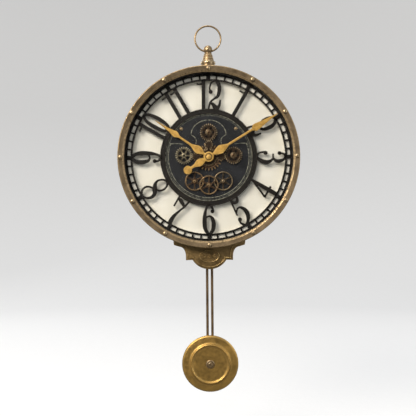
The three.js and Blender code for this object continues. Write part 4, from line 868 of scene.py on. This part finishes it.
# %% [markdown]
# Three arms leave the centre: up, left and right. Each has an idler and a wheel. The left wheel is pale
# brass with cut-out spokes; the other two are dark and have six small holes round a reddish hub.

# %% Side gears
SPOKE = 1.0


def spoked(centre, r, rim, hub, turn):
    """The outlines of a wheel: its circle and six windows. A window's sides run parallel to its spokes,
    so at radius q they stand asin(spoke / q) off the spokes' middle lines."""
    outlines = [circle(centre, r, 96)]
    for k in range(6):
        start, end = turn + 60 * k, turn + 60 * k + 60
        far, near = np.degrees(np.arcsin(SPOKE / (r - rim))), np.degrees(np.arcsin(SPOKE / hub))
        outer = clockwise(np.linspace(start + far, end - far, 9), r - rim)
        inner = clockwise(np.linspace(end - near, start + near, 4), hub)
        outlines.append(centre + np.vstack([outer, inner]))
    return outlines


SIDES = {"top": 0.0, "left": -86.0, "right": 86.0}
for side, angle in SIDES.items():
    idler_at, wheel_at = axis_of(f"idler_{side}_turn"), axis_of(f"wheel_{side}_turn")
    idler_phase = mesh_phase(TEETH["pinion"], 0, TEETH["idler"], angle)
    phase = mesh_phase(TEETH["idler"], idler_phase, TEETH["wheel"], angle)
    face = front_layer - GEAR_T
    idler = toothed_ring(idler_at, TEETH["idler"], PITCH_FRONT, idler_phase, front_layer, face, 1.6)
    stand_in(f"idler_gear_{side}", [idler], f"idler_{side}")
    web, boss = (5.4, 3.4) if side == "left" else (4.4, 1.9)
    wheel = gear(wheel_at, TEETH["wheel"], PITCH_FRONT, phase, front_layer, face, 1.6, web, boss)
    made = stand_in(f"wheel_gear_{side}", [wheel], f"wheel_{side}")
    if side == "left":
        gaps = [plate([window], front_layer + 2, face - 2, 0.05)
                for window in spoked(wheel_at, 11.0, 1.7, 3.7, phase)[1:]]
    else:
        drill = rounded(barrel(1.7, front_layer - 4, front_layer + 2), 0.1)
        gaps = [turned(drill, wheel_at + clockwise(turn + phase, 7.2), sides=20)
                for turn in range(0, 360, 60)]
        cap = [(0, face - 0.9), (1.9, face - 0.8), (2.9, face - 0.4), (3.2, face + 0.1), (0, face + 0.1)]
        piece(f"wheel_hub_{side}", [turned(rounded(cap, 0.2, wear=0.5), wheel_at, sides=32)], f"wheel_{side}",
              slot="gear_red_bronze")
    cut(made, gaps)

# %% [markdown]
# The three lower wheels are spoked, with a smooth rim, like the balance wheels of a large clock. Each
# one shares an arbor with a small gear behind the disc, which the centre drives out of sight. A spoked
# wheel is a plate: a circle with six windows, each a sector with straight sides.

# %% Spoked wheels
LOWER = {"left": 211.0, "middle": 180.0, "right": 149.0}
for side, angle in LOWER.items():
    node = f"lower_wheel_{side}"
    at = axis_of(f"lower_{side}_turn")
    front, back = reach(node, "Y")
    gear_back = panel_front - 2.6
    wheel = plate(spoked(at, 14.5, 2.0, 4.2, 0), front + GEAR_T, front, 0.3)
    boss = [(0, front - 0.5), (1.4, front - 0.5), (1.9, front - 0.1), (3.1, front), (3.1, front + 0.5),
            (0, front + 0.5)]
    ring = bead(circle(at, 13.5, 96), 0.55, 0.25, front, wear=0.9)
    arbor = [(0, front + 0.4), (1.5, front + 0.4), (1.5, gear_back), (1.0, gear_back), (1.0, back), (0, back)]
    phase = mesh_phase(TEETH["drive"], 0, TEETH["lower"], angle)
    hidden = toothed_ring(at, TEETH["lower"], PITCH_REAR, phase, gear_back, gear_back - 1.8, 1.4)
    stand_in(f"spoked_wheel_{side}", [wheel, turned(rounded(boss, 0.2), at, sides=40), ring,
                                      turned(rounded(arbor, 0.1), at, sides=24), hidden], node)

# %% [markdown]
# A hand is pressed from sheet and hammered: a leaf near the hub, a thin stem, and a spear towards the
# tip. Its outline is a list of stations, each a distance from the axis and a half width, joined by a
# smooth line. The minute hand has a short tail that ends in a round weight.

# %% Hands
LEAF = [(4, 2.0), (9.4, 2.0), (14.5, 4.6), (21, 6.45), (26, 5.2), (31, 3.0), (35, 1.7)]


def hand(stations, degrees, back, front):
    """A blade along the direction of a clockwise angle, with the half widths of its stations."""
    line = smooth(stations, 8)
    step = np.hypot(*np.diff(line, axis=0).T)
    line = line[np.concatenate([[True], step > 1e-3])]
    straight = HUB + line[:, :1] * clockwise(degrees, 1.0)
    return blade(straight, np.maximum(line[:, 1], 0.15), back, front, 0.35, crown=0.12, wear=0.6)


def flat_disc(centre, r, back, front, sides=48):
    """A round plate with a rounded front edge."""
    return turned(rounded(barrel(r, front, back), 0.4, wear=0.6), centre, sides=sides)


minutes = 9.7
hours = 10 + minutes / 60
minute_front, minute_back = reach("minute_hand", "Y")
hour_front, hour_back = reach("hour_hand", "Y")
minute_blade = LEAF + [(40, 1.7), (60, 1.6), (72, 1.6), (76.5, 1.8), (79.5, 3.6), (82, 5.6), (85, 5.6),
                       (92, 4.3), (101, 3.0), (111, 1.7), (122.8, 0.4)]
tail = [(3, 2.0), (6, 2.2), (11, 4.4), (15.5, 5.5), (19.5, 4.8), (24, 2.8), (28, 1.9), (33, 1.8)]
stand_in("minute_blade", [
    hand(minute_blade, 6 * minutes, minute_back, minute_front),
    hand(tail, 6 * minutes + 180, minute_back, minute_front + 0.01),
    flat_disc(HUB + clockwise(6 * minutes + 180, 37), 6.3, minute_back, minute_front),
    flat_disc(HUB, 6.5, minute_back, minute_front),
], "minute_hand")
hour_blade = LEAF[:3] + [(19, 6.1), (24, 5.0), (29, 2.8), (34, 1.7), (44, 1.6), (52, 1.6), (55.5, 2.4),
                         (60, 4.5),
                         (64, 4.1), (72, 2.4), (84, 1.2), (97.4, 0.35)]
stand_in("hour_blade", [hand(hour_blade, 30 * hours, hour_back, hour_front),
                        flat_disc(HUB, 6.5, hour_back, hour_front)], "hour_hand")

# %% [markdown]
# The nut that holds the hands is a round cap with a turned groove, and a small hexagon on it. A hexagon
# is also a function of angle: its edge stands apothem / cos away from the middle. A thin dark ring laid
# in the groove is painted shade, for the shade that the groove holds.

# %% Hub cap
cap_front, cap_back = reach("hand_nut", "Y")
cap_profile = [(0, cap_back - 1.2), (4.0, cap_back - 1.2), (4.1, cap_back - 0.4), (5.1, cap_back - 0.4),
               (5.3, cap_back - 1.25), (7.0, cap_back - 1.1), (7.7, cap_back - 0.5), (7.7, cap_back),
               (0, cap_back)]
around_nut = np.arange(72) * TURN / 72
apothem = 3.1
hexagon = apothem / np.cos((around_nut + np.pi / 6) % (np.pi / 3) - np.pi / 6) - apothem
nut_rows = [(0, cap_front, 0.4, 0), (2.6, cap_front, 0.8, 0.6), (apothem, cap_front + 0.35, 1, 1),
            (apothem, cap_back - 0.9, 0.2, 1), (0, cap_back - 0.9, 0, 0)]
stand_in("hub_cap", [turned(rounded(cap_profile, 0.25, wear=0.7), HUB, sides=96),
                     turned(nut_rows, HUB, sides=72, outline=hexagon)], "hand_nut")
# Painted shade: a thin dark ring in the cap's groove, standing for the shade inside it.
groove_shade = rounded(barrel(5.15, cap_back - 0.75, cap_back - 0.45, bore=4.05), 0.05, wear=0.6)
piece("cap_groove_painted_shade", [turned(groove_shade, HUB, sides=96)], "hand_nut", slot="gear_bronze")

# %% [markdown]
# The pendant on top copies a pocket watch: a round foot with beads, a neck and a ball, all turned from
# one bar about an upright axis. The bow ring passes through a hole across the ball and hangs by its own
# weight, so it can be tipped forwards and back.

# %% Pendant and bow ring
ring_axis = JOINTS["ring_tilt"]["pos_m"]
pendant_y = ring_axis[1] / MM
pendant_low, pendant_top = reach("pendant", "Z")
seat_z, ball_r = HUB[1] + drum_r + 0.3, 6.8
ball_z = pendant_top - ball_r
foot_top = HUB[1] + drum_r + 18.0
foot = rounded([
    (0, pendant_low), (3, pendant_low), (3, seat_z), (11.3, seat_z), (11.3, seat_z + 2.4),
    (10.3, seat_z + 3.2),
    (10.3, foot_top - 4.6), (11.3, foot_top - 3.9), (11.5, foot_top - 2.2), (11.0, foot_top - 0.6),
    (9.4, foot_top + 0.4), (9.0, foot_top + 1.6), (8.1, foot_top + 5.2), (7.0, foot_top + 9.4),
    (6.5, foot_top + 10.6), (5.3, foot_top + 11.0), (5.9, foot_top + 11.7), (5.9, foot_top + 12.7),
    (4.9, foot_top + 13.4), (4.4, ball_z - 5.2), (0, ball_z - 5.2),
], 0.6)
swell = np.linspace(np.pi, 0, 25)
ball = [(ball_r * np.sin(a), ball_z + ball_r * np.cos(a), 0.5) for a in swell]
ball[0], ball[-1] = (0, ball_z - ball_r, 0), (0, ball_z + ball_r, 0.6)
pendant = stand_in("pendant_turned", [turned(foot, (0, pendant_y), sides=72, along="z"),
                                      turned(ball, (0, pendant_y), sides=48, along="z")], "pendant")
bore_z = ring_axis[2] / MM
hole = turned([(0, -12, 0), (2.5, -12, 0), (2.5, 12, 0), (0, 12, 0)], (pendant_y, bore_z),
              sides=32, along="x")
cut(pendant, [hole])

RING_R, RING_WIRE = 19.7, 1.3
bow = circle((0, bore_z + RING_R), RING_R, 120)
bow_line = np.column_stack([bow[:, 0], np.full(len(bow), pendant_y), bow[:, 1]])
stand_in("bow_ring", [wire(bow_line, RING_WIRE, sides=20, closed=True)], "hanging_ring")

# %% [markdown]
# The apron is a cast plate under the drum. Its outline comes down from the drum in a hollow curve to a
# square shoulder, and ends in a round foot. A raised border follows the outline a few millimetres
# inside, and an oval frame in the middle holds a small rosette between four leaves.

# %% Apron outline
apron_front, apron_back = reach("apron", "Y")
apron_low = reach("apron", "Z")[0]
APRON_HALF = reach("apron", "X")[1]
sag_r = drum_r + 0.3


def quadratic(a, b, c, steps=14):
    """The curve (1-t)^2 a + 2t(1-t) b + t^2 c."""
    t = np.linspace(0, 1, steps)[:, None]
    return (1 - t) ** 2 * np.array(a) + 2 * t * (1 - t) * np.array(b) + t**2 * np.array(c)


def apron_half(inset):
    """The right half of the outline from the drum down, moved in by inset."""
    w, low = APRON_HALF - inset, apron_low + inset
    hollow = quadratic((w - 9.1, low + 34.4 + inset * 0.2), (36.4 - inset, low + 33.4),
                       (35.7 - inset, low + 19.9))
    foot_curve = quadratic((25.7 - inset * 0.6, low + 14.3), (17, low + 0.6), (0, low), 18)
    top = np.array([[w, HUB[1] - np.sqrt(sag_r**2 - w**2) - inset]])
    sides = np.array([[w, low + 40.9], [w - 0.8, low + 37 + inset * 0.3]])
    shoulder = np.array([[35.7 - inset, low + 13.9]])
    return np.vstack([top, sides, hollow, shoulder, foot_curve])


def apron_outline(inset):
    """Both halves, closed by the arc of the drum."""
    right = apron_half(inset)
    left = right[::-1][1:] * [-1, 1]
    x = np.linspace(-right[0, 0], right[0, 0], 42)[1:-1]
    arc = np.column_stack([x, HUB[1] - np.sqrt((sag_r + inset) ** 2 - x**2)])
    return np.vstack([right, left, arc])


# %% Apron relief
plate_y = apron_front + 1.2
oval_z = apron_low + 19.9
round_line = circle((0, 0), 1.0, 72)
oval = [0, oval_z] + round_line * [14.6, 8.9]
oval_inner = [0, oval_z] + round_line * [12.26, 6.76]
stations = smooth([(0.6, 0.2), (1.6, 0.75), (2.8, 0.8), (3.7, 0.2)], 4)
petals = []
for k in range(6):
    line = [0, oval_z] + stations[:, :1] * clockwise(60 * k, 1.0)
    petals.append(blade(line, stations[:, 1], plate_y, plate_y - 1.0, 0.25, crown=0.25, wear=1))
leaves = []
for side in (-1, 1):
    for lift in (-1, 1):
        stem = smooth([(4.3, 0), (6.6, 1.2 * lift), (9.3, 1.5 * lift), (11.6, 0.4 * lift)], 5)
        width = 0.9 * np.sin(np.linspace(0.15, np.pi - 0.1, len(stem))) + 0.1
        line = stem * [side, 1] + [0, oval_z]
        leaves.append(blade(line, width, plate_y, plate_y - 0.9, 0.25, crown=0.2, wear=1))
rosette = [(0, plate_y - 1.15, 1), (0.5, plate_y - 1.05, 1), (0.8, plate_y - 0.6, 0.4), (0.8, plate_y, 0),
           (0, plate_y, 0)]
border = apron_half(3.6)[1:-1]
border = np.vstack([border, (border * [-1, 1])[::-1]])
stand_in("apron_cast", [
    plate([apron_outline(0)], apron_back, plate_y, 0.5),
    bead(border, 0.8, 0.9, plate_y, closed=False, wear=1.0),
    bead(oval, 0.85, 1.15, plate_y, wear=1.0),
    bead(oval_inner, 0.35, 0.5, plate_y, wear=0.9),
    turned(rosette, (0, oval_z), sides=24), *petals, *leaves,
], "apron")

# %% [markdown]
# The pendulum hangs on a pin behind the movement. A black moulded leader swings on the pin; a wire hook
# passes through its lower eye and carries a small bridge, and the two rods are pressed into the bridge.

# %% Leader, magnet and bridge
pivot_z = JOINTS["pendulum_swing"]["pos_m"][2] / MM
leader_front, leader_back = reach("pendulum_leader", "Y")
eye_z = reach("pendulum_leader", "Z")[0] + 5
strap = np.vstack([
    clockwise(np.linspace(-133, 133, 25), 4.2) + [0, pivot_z],
    clockwise(np.linspace(37, 323, 27), 5.0) + [0, eye_z],
])
stand_in("leader_strap", [plate([strap, circle((0, pivot_z), 1.9, 32), circle((0, eye_z), 2.7, 40)],
                                leader_back, leader_front, 0.35)], "pendulum_leader")
magnet_front, magnet_back = reach("pendulum_magnet", "Y")
magnet_z = sum(reach("pendulum_magnet", "Z")) / 2
stand_in("drive_magnet", [flat_disc((0, magnet_z), 4, magnet_back, magnet_front)], "pendulum_magnet")

rod_y = sum(reach("rod_left", "Y")) / 2
bridge_low = reach("rod_bridge", "Z")[0]
bridge_top = bridge_low + 9
hook_stops = [(-0.4, -9), (2.6, -6.5), (2.8, -2.5), (0, 0), (-2.2, -2.4), (-2.2, -4.6)]
hook = smooth([(0, rod_y + y, eye_z + z) for y, z in hook_stops], 8)
bridge_half, rod_x = reach("rod_bridge", "X")[1], sum(reach("rod_right", "X")) / 2
bar = rounded(barrel(2.6, -bridge_half, bridge_half), 0.8)
across = turned(bar, (rod_y, bridge_top - 2.9), sides=40, along="x")
socket = rounded(barrel(radius_of("rod_right") + 0.7, bridge_low, bridge_top - 1), 0.4)
sockets = [turned(socket, (x, rod_y), sides=36, along="z") for x in (-rod_x, rod_x)]
stand_in("hook_bridge", [wire(hook, 0.75), across, *sockets], "rod_bridge")

# %% [markdown]
# The rods are drawn wire, lacquered dark bronze. They run behind the front of the bob to its middle.

# %% Rods
rod_r = radius_of("rod_right")
for side, x in (("left", -rod_x), ("right", rod_x)):
    rod_low, rod_top = reach(f"rod_{side}", "Z")
    drawn = rounded(barrel(rod_r, rod_low, rod_top), 0.3)
    stand_in(f"rod_drawn_{side}", [turned(drawn, (x, rod_y), sides=32, along="z")], f"rod_{side}")

# %% [markdown]
# The bob is a shallow pan with a stepped front, spun over a form. Its rim turns back to hide the edge
# of the sheet, and the back is closed by a second pan that leaves a gate for the rods. A round screw
# head holds the two together in the middle.

# %% Bob
BOB = np.array([0, sum(reach("bob_front", "Z")) / 2])
bob_r = radius_of("bob_front")
step_front, shell_back = reach("bob_front", "Y")
step_r = 29.4
front_profile = [
    (1.6, step_front + 1.3), (6.5, step_front + 1.5), (step_r - 3.4, step_front + 1.7),
    (step_r - 1.7, step_front + 1.2), (step_r - 0.7, step_front + 0.1), (step_r + 0.5, step_front),
    (step_r + 1.7, step_front + 1.0),
    (step_r + 2.2, step_front + 2.4), (step_r + 4, step_front + 3.0), (bob_r - 2.4, step_front + 3.4),
    (bob_r - 0.7, step_front + 4.1), (bob_r, step_front + 5.6), (bob_r, shell_back),
    (bob_r - 1.5, shell_back),
    (bob_r - 1.5, step_front + 5.4), (step_r, step_front + 3), (1.6, step_front + 3),
]
stand_in("bob_face", [turned(rounded(front_profile, 0.6, wear=0.3), BOB, sides=160)], "bob_front")
pan_front, pan_back = reach("bob_back", "Y")
pan_r = radius_of("bob_back")
pan_profile = [
    (1.6, pan_back - 0.6), (9, pan_back - 0.6), (11, pan_back), (pan_r - 5, pan_back),
    (pan_r, pan_back - 1.6),
    (pan_r, pan_front), (pan_r - 1.2, pan_front), (pan_r - 1.2, pan_back - 2.4), (pan_r - 6, pan_back - 1.5),
    (1.6, pan_back - 1.8),
]
pan = stand_in("bob_pan", [turned(rounded(pan_profile, 0.5, wear=0.8), BOB, sides=144)], "bob_back")
gate_half, pan_top = rod_x + rod_r + 0.6, BOB[1] + pan_r
gate = block((-gate_half, gate_half), (pan_front - 1, pan_back - 1.5), (pan_top - 5, pan_top + 5), 0.3)
cut(pan, [gate])
head_front, screw_end = reach("bob_screw", "Y")
head_back = head_front + 2.4
boss = [(0, head_front), (2.2, head_front), (2.6, head_front + 0.7), (3.4, head_front + 0.9),
        (6.2, head_front + 1.5),
        (6.8, head_back - 0.2), (6.8, head_back), (1.3, head_back), (1.3, screw_end), (0, screw_end)]
stand_in("bob_boss", [turned(rounded(boss, 0.35), BOB, sides=64)], "bob_screw")

# %% [markdown]
# Behind the dial sits a battery movement: a moulded box with its cell in a bay, a lid, a setting knob
# with a milled edge, and the pin for the pendulum. A second small box turns the gears. They are seen
# only from behind, but a clock is bought by people who turn it over.

# %% Movement
CELL_R, BOX_WALL = 7.1, 1.8
half_w = reach("movement_housing", "X")[1]
case_low, case_high = reach("movement_housing", "Z")
bay_top = case_low + BOX_WALL + 2 * CELL_R + 2
bush_front = reach("movement_housing", "Y")[0]
body_front = panel_back + 0.3
box = block((-half_w, half_w), (body_front, movement_back), (case_low, case_high), 1.2)
housing = stand_in("movement_box", [box], "movement_housing")
inner_w = half_w - BOX_WALL
open_end = movement_back + 2
bay_depth = (movement_back - 2 * CELL_R - 1.6, open_end)
cut(housing, [
    block((-inner_w, inner_w), bay_depth, (case_low + BOX_WALL, bay_top), 0.8),
    block((-inner_w, inner_w), (body_front + BOX_WALL, open_end),
          (bay_top + BOX_WALL, case_high - BOX_WALL), 0.8),
])
bush = rounded(barrel(4, bush_front, body_front + 1, bore=2.9), 0.2)
piece("hand_bush", [turned(bush, HUB, sides=48)], "movement_housing", slot="bush_brass")
lid_low, lid_high = bay_top + 2.1, case_high - 2.1
lid = block((0.3 - inner_w, inner_w - 0.3), (movement_back - 1.6, movement_back), (lid_low, lid_high), 0.4)
pin_end = reach("movement_cover", "Y")[1]
pin = turned(rounded(barrel(1.5, movement_back - 1, pin_end), 0.3), (0, pivot_z), sides=32)
knob_at = axis_of("knob_turn")
well = bead(circle(knob_at, 7.6, 72), 0.5, 0.5, 0, wear=0.4)
well = (well[0] * [1, -1, 1] + [0, movement_back, 0], well[1], well[2])
vents = [block((x, x + 1.4), (movement_back - 0.7, movement_back + 1), (lid_low + 6, lid_high - 6), 0.3)
         for x in range(6, 21, 3)]
cover = stand_in("movement_lid", [lid], "movement_cover")
cut(cover, vents)
piece("pendulum_pin", [pin, well], "movement_cover")

knob_front, knob_back = reach("setting_knob", "Y")
milling = 0.28 * (0.5 + 0.5 * np.cos(np.arange(180) * TURN / 180 * 30))
grip_front = movement_back + 0.6
knob_rows = [(0, knob_front, 0, 0), (2, knob_front, 0, 0), (2, grip_front, 0, 0), (5.2, grip_front, 0.3, 0),
             (5.7, grip_front + 0.5, 0.8, 1), (5.7, knob_back - 0.6, 0.8, 1), (5.2, knob_back, 0.8, 0),
             (4.0, knob_back, 0.2, 0), (3.7, knob_back - 0.8, 0.3, 0), (0, knob_back - 0.9, 0, 0)]
stand_in("milled_knob", [turned(knob_rows, knob_at, sides=180, outline=milling)], "setting_knob")

# %% [markdown]
# The cell is an ordinary AA can in a printed sleeve, with a bare steel end and a nub. A coil spring
# presses on its flat end. The sleeve is one plain colour, with a copper band at the plus end.

# %% Cell, spring and motor
cell_low, cell_high = reach("aa_battery", "X")
cell_y, cell_z = sum(reach("aa_battery", "Y")) / 2, sum(reach("aa_battery", "Z")) / 2
sleeve_end = cell_high - 1.3
can = rounded([(0, cell_low), (6.4, cell_low), (CELL_R, cell_low + 0.6), (CELL_R, sleeve_end - 0.5),
               (6.6, sleeve_end), (0, sleeve_end)], 0.3, wear=0.3)
nub = rounded(barrel(2.7, sleeve_end - 1, cell_high), 0.4)
band = rounded(barrel(7.13, sleeve_end - 11, sleeve_end - 0.7, bore=7.0), 0.05)
cell_axis = (cell_y, cell_z)
stand_in("cell_sleeve", [turned(can, cell_axis, sides=72, along="x")], "aa_battery")
piece("cell_nub", [turned(nub, cell_axis, sides=48, along="x")], "aa_battery", slot="magnet_steel")
piece("cell_band", [turned(band, cell_axis, sides=72, along="x")], "aa_battery", slot="bush_brass")
turns = np.linspace(0, 4.5 * TURN, 110)
spring_x = np.linspace(-inner_w + 0.5, cell_low - 0.45, 110)
coil_r = np.linspace(4.2, 2.4, 110)
spring = np.column_stack([spring_x, cell_y + coil_r * np.sin(turns), cell_z + coil_r * np.cos(turns)])
piece("contact_spring", [wire(spring, 0.35, sides=10)], "aa_battery", slot="magnet_steel")

motor_x, motor_z = reach("gear_motor", "X")[1], reach("gear_motor", "Z")
motor_front, motor_back = reach("gear_motor", "Y")
motor = block((-motor_x, motor_x), (motor_front, motor_back), motor_z, 1.5)
ribs = [block((-motor_x + 4, motor_x - 4), (motor_back - 0.9, motor_back + 1), (z, z + 1.2), 0.3)
        for z in np.arange(motor_z[0] + 8, motor_z[1] - 8, 3.0)]
cut(stand_in("motor_box", [motor], "gear_motor"), ribs)
screw_head = [(0, motor_back + 0.9, 0.6), (1.2, motor_back + 0.8, 0.8), (2.0, motor_back + 0.3, 1),
              (2.0, motor_back - 0.5, 0), (0, motor_back - 0.5, 0)]
piece("motor_screws", [turned(screw_head, (x, z), sides=28) for x in (3.5 - motor_x, motor_x - 3.5)
                       for z in (motor_z[0] + 3.5, motor_z[1] - 3.5)], "gear_motor", slot="magnet_steel")

# %% [markdown]
# The hanger is a plated steel plate with a keyhole: the screw's head goes in through the round hole and
# the shank slides up the slot. Two rubber pads keep the lower case as far from the wall as the hanger.

# %% Hanger and bumpers
hanger_half, (hanger_low, hanger_top) = reach("wall_hanger", "X")[1], reach("wall_hanger", "Z")
hanger_t = 1.7
screw_z = -9.0
corner = 2.5
square = np.vstack([clockwise(np.linspace(q, q + 90, 7), corner) + [(hanger_half - corner) * sx, z]
                    for q, sx, z in ((0, 1, hanger_top - corner), (90, 1, hanger_low + corner),
                                     (180, -1, hanger_low + corner), (270, -1, hanger_top - corner))])
slot_half, head_r, run = 2.4, 5.0, 6.0
open_at = np.degrees(np.arcsin(slot_half / head_r))
keyhole = np.vstack([clockwise(np.linspace(-90, 90, 17), slot_half) + [0, screw_z],
                     clockwise(np.linspace(open_at, 360 - open_at, 41), head_r) + [0, screw_z - run]])
pin = rounded(barrel(1.6, -0.5, reach("wall_hanger", "Y")[0]), 0.2)
pins = [turned(pin, (x, HUB[1] + rear_bore_r + 3.5), sides=32) for x in (-14, 14)]
stand_in("keyhole_plate", [plate([square, keyhole], 0, -hanger_t, 0.3), *pins], "wall_hanger")
for side in ("left", "right"):
    node = f"wall_bumper_{side}"
    pad_front, pad_back = reach(node, "Y")
    pad = rounded([(0, pad_back), (4.0, pad_back), (5, pad_front), (0, pad_front)], 0.5)
    stand_in(f"rubber_pad_{side}", [turned(pad, middle_of(node), sides=48)], node)

# %% [markdown]
# The small parts that stay as the solid model has them are the bridge under the idlers, the nut on the
# hand bush, the arbors and the two hidden wheels. They only need a finish, which they already have.
#
# The object stands before a pale bowl: a floor that curves up into a round wall, with no corner to see.
# Only the camera sees the bowl, so that it neither tints the metal nor blocks the soft light.

# %% Floor and backdrop
BOWL_R, CURVE_R, STEPS = 2600.0, 900.0, 24
floor_z = cad_box[0][2] / MM - 110
bend = np.linspace(0, np.pi / 2, STEPS)
bowl_rows = [(0, floor_z), (BOWL_R * 0.3, floor_z)]
bowl_rows += [(BOWL_R - CURVE_R + CURVE_R * np.sin(a), floor_z + CURVE_R * (1 - np.cos(a))) for a in bend]
bowl_rows += [(BOWL_R, floor_z + 4200)]
around_bowl = np.arange(128) * TURN / 128
grid = np.array([[(r * np.sin(a), r * np.cos(a), h) for a in around_bowl] for r, h in bowl_rows])
points, _, quads = surface(grid, 0.0, close_rows=False)
bowl_mesh = bpy.data.meshes.new("bowl")
bowl_mesh.from_pydata((points * MM).tolist(), [], quads)
bowl_mesh.shade_smooth()
bowl = bpy.data.objects.new("bowl", bowl_mesh)
bpy.context.scene.collection.objects.link(bowl)
for ray in ("diffuse", "glossy", "transmission", "shadow"):
    setattr(bowl, f"visible_{ray}", ray == "transmission")
plaster = bpy.data.materials.new("plaster")
plaster.use_nodes = True
tree = plaster.node_tree
wall, place = tree.nodes["Principled BSDF"], add(tree, "TexCoord").outputs["Object"]
trowel = add(tree, "TexNoise", {"Vector": place, "Scale": per_mm(26), "Detail": 6.0, "Roughness": 0.6})
relief = add(tree, "Bump", {"Height": trowel.outputs["Fac"], "Strength": 1.0, "Distance": 1.2 * MM})
tree.links.new(relief.outputs["Normal"], wall.inputs["Normal"])
wall.inputs["Base Color"].default_value = linear("#C4C4C3")
wall.inputs["Emission Color"].default_value = linear("#FFFFFF")
wall.inputs["Emission Strength"].default_value = 0.32
wall.inputs["Roughness"].default_value = 0.9
bowl_mesh.materials.append(plaster)

# %% [markdown]
# Metal shows what surrounds it, so the light is made for its reflections. The world is a soft gradient,
# bright above and dimmer below. A large lamp stands high on the left, a weaker one on the right, and a
# long one above gives the rim its line. Two behind light the back. A soft lamp in front reaches the
# minute track and is kept out of reflections. The world is dim straight ahead, because the flat glass
# mirrors that part of it over the dial.

# %% World and lamps
world = bpy.data.worlds.new("studio")
bpy.context.scene.world = world
world.use_nodes = True
tree = world.node_tree
background = tree.nodes["Background"]
direction = add(tree, "TexCoord").outputs["Generated"]
split = add(tree, "SeparateXYZ", {"Vector": direction})
height = add(tree, "MapRange", {"Value": split.outputs["Z"], "From Min": -0.5, "From Max": 0.9})
sky = add(tree, "ValToRGB", {"Fac": height.outputs["Result"]},
          stops=[(0.0, "#8B8A88"), (1.0, "#F4F6FA")])
ahead = add(tree, "MapRange", {"Value": split.outputs["Y"], "From Min": -0.965, "From Max": -0.88,
                               "To Min": 0.04, "To Max": 1.0})
dimmed = add(tree, "Mix", {0: 1.0, MIX_A: sky.outputs["Color"], MIX_B: ahead.outputs["Result"]},
             data_type="RGBA", blend_type="MULTIPLY")
tree.links.new(dimmed.outputs[2], background.inputs["Color"])
background.inputs["Strength"].default_value = 0.62
world.cycles_visibility.transmission = False


def lamp(name, place, aim, width, height, watts, tint="#FFFFFF"):
    """A rectangular lamp at a place in millimetres that faces its aim."""
    light = bpy.data.lights.new(name, "AREA")
    light.shape, light.size, light.size_y = "RECTANGLE", width * MM, height * MM
    light.energy, light.color = watts, linear(tint)[:3]
    made = bpy.data.objects.new(name, light)
    bpy.context.scene.collection.objects.link(made)
    made.visible_transmission = False
    made.location = np.array(place) * MM
    away = Vector(np.array(place, float) - np.array(aim, float))
    made.rotation_euler = away.to_track_quat("Z", "Y").to_euler()
    return made


MIDDLE = (0, -30, -160)
DIAL = (0, -45, -116)
lamp("key", (-900, -1300, 700), MIDDLE, 900, 700, 32, "#FFF8EE")
lamp("fill", (1300, -900, 0), MIDDLE, 700, 1000, 4, "#F2F6FF")
lamp("top", (-200, 0, 1500), MIDDLE, 1200, 700, 11)
front = lamp("front", (-150, -1500, 300), DIAL, 500, 400, 4.5)
front.visible_glossy = False
lamp("back_left", (-1100, 1300, 500), MIDDLE, 900, 900, 7)
lamp("back_right", (1200, 1100, 300), MIDDLE, 900, 900, 3)

# %% [markdown]
# The camera stands a metre in front, level with a point a little above the pendulum's rods. A distance
# of about four times the object's width keeps the round bezel from bulging.

# %% Camera
CAMERA_AT = (-1.7, -1062.0, -192.6)
LENS, ROLL = 58.3, 0.44
eye = bpy.data.cameras.new("eye")
eye.lens, eye.sensor_width = LENS, 36.0
eye.clip_start, eye.clip_end = 0.05, 20.0
camera = bpy.data.objects.new("camera", eye)
bpy.context.scene.collection.objects.link(camera)
camera.location = np.array(CAMERA_AT) * MM
camera.rotation_euler = (np.pi / 2, np.radians(ROLL), 0)
bpy.context.scene.camera = camera
bpy.context.scene.view_settings.view_transform = "Standard"
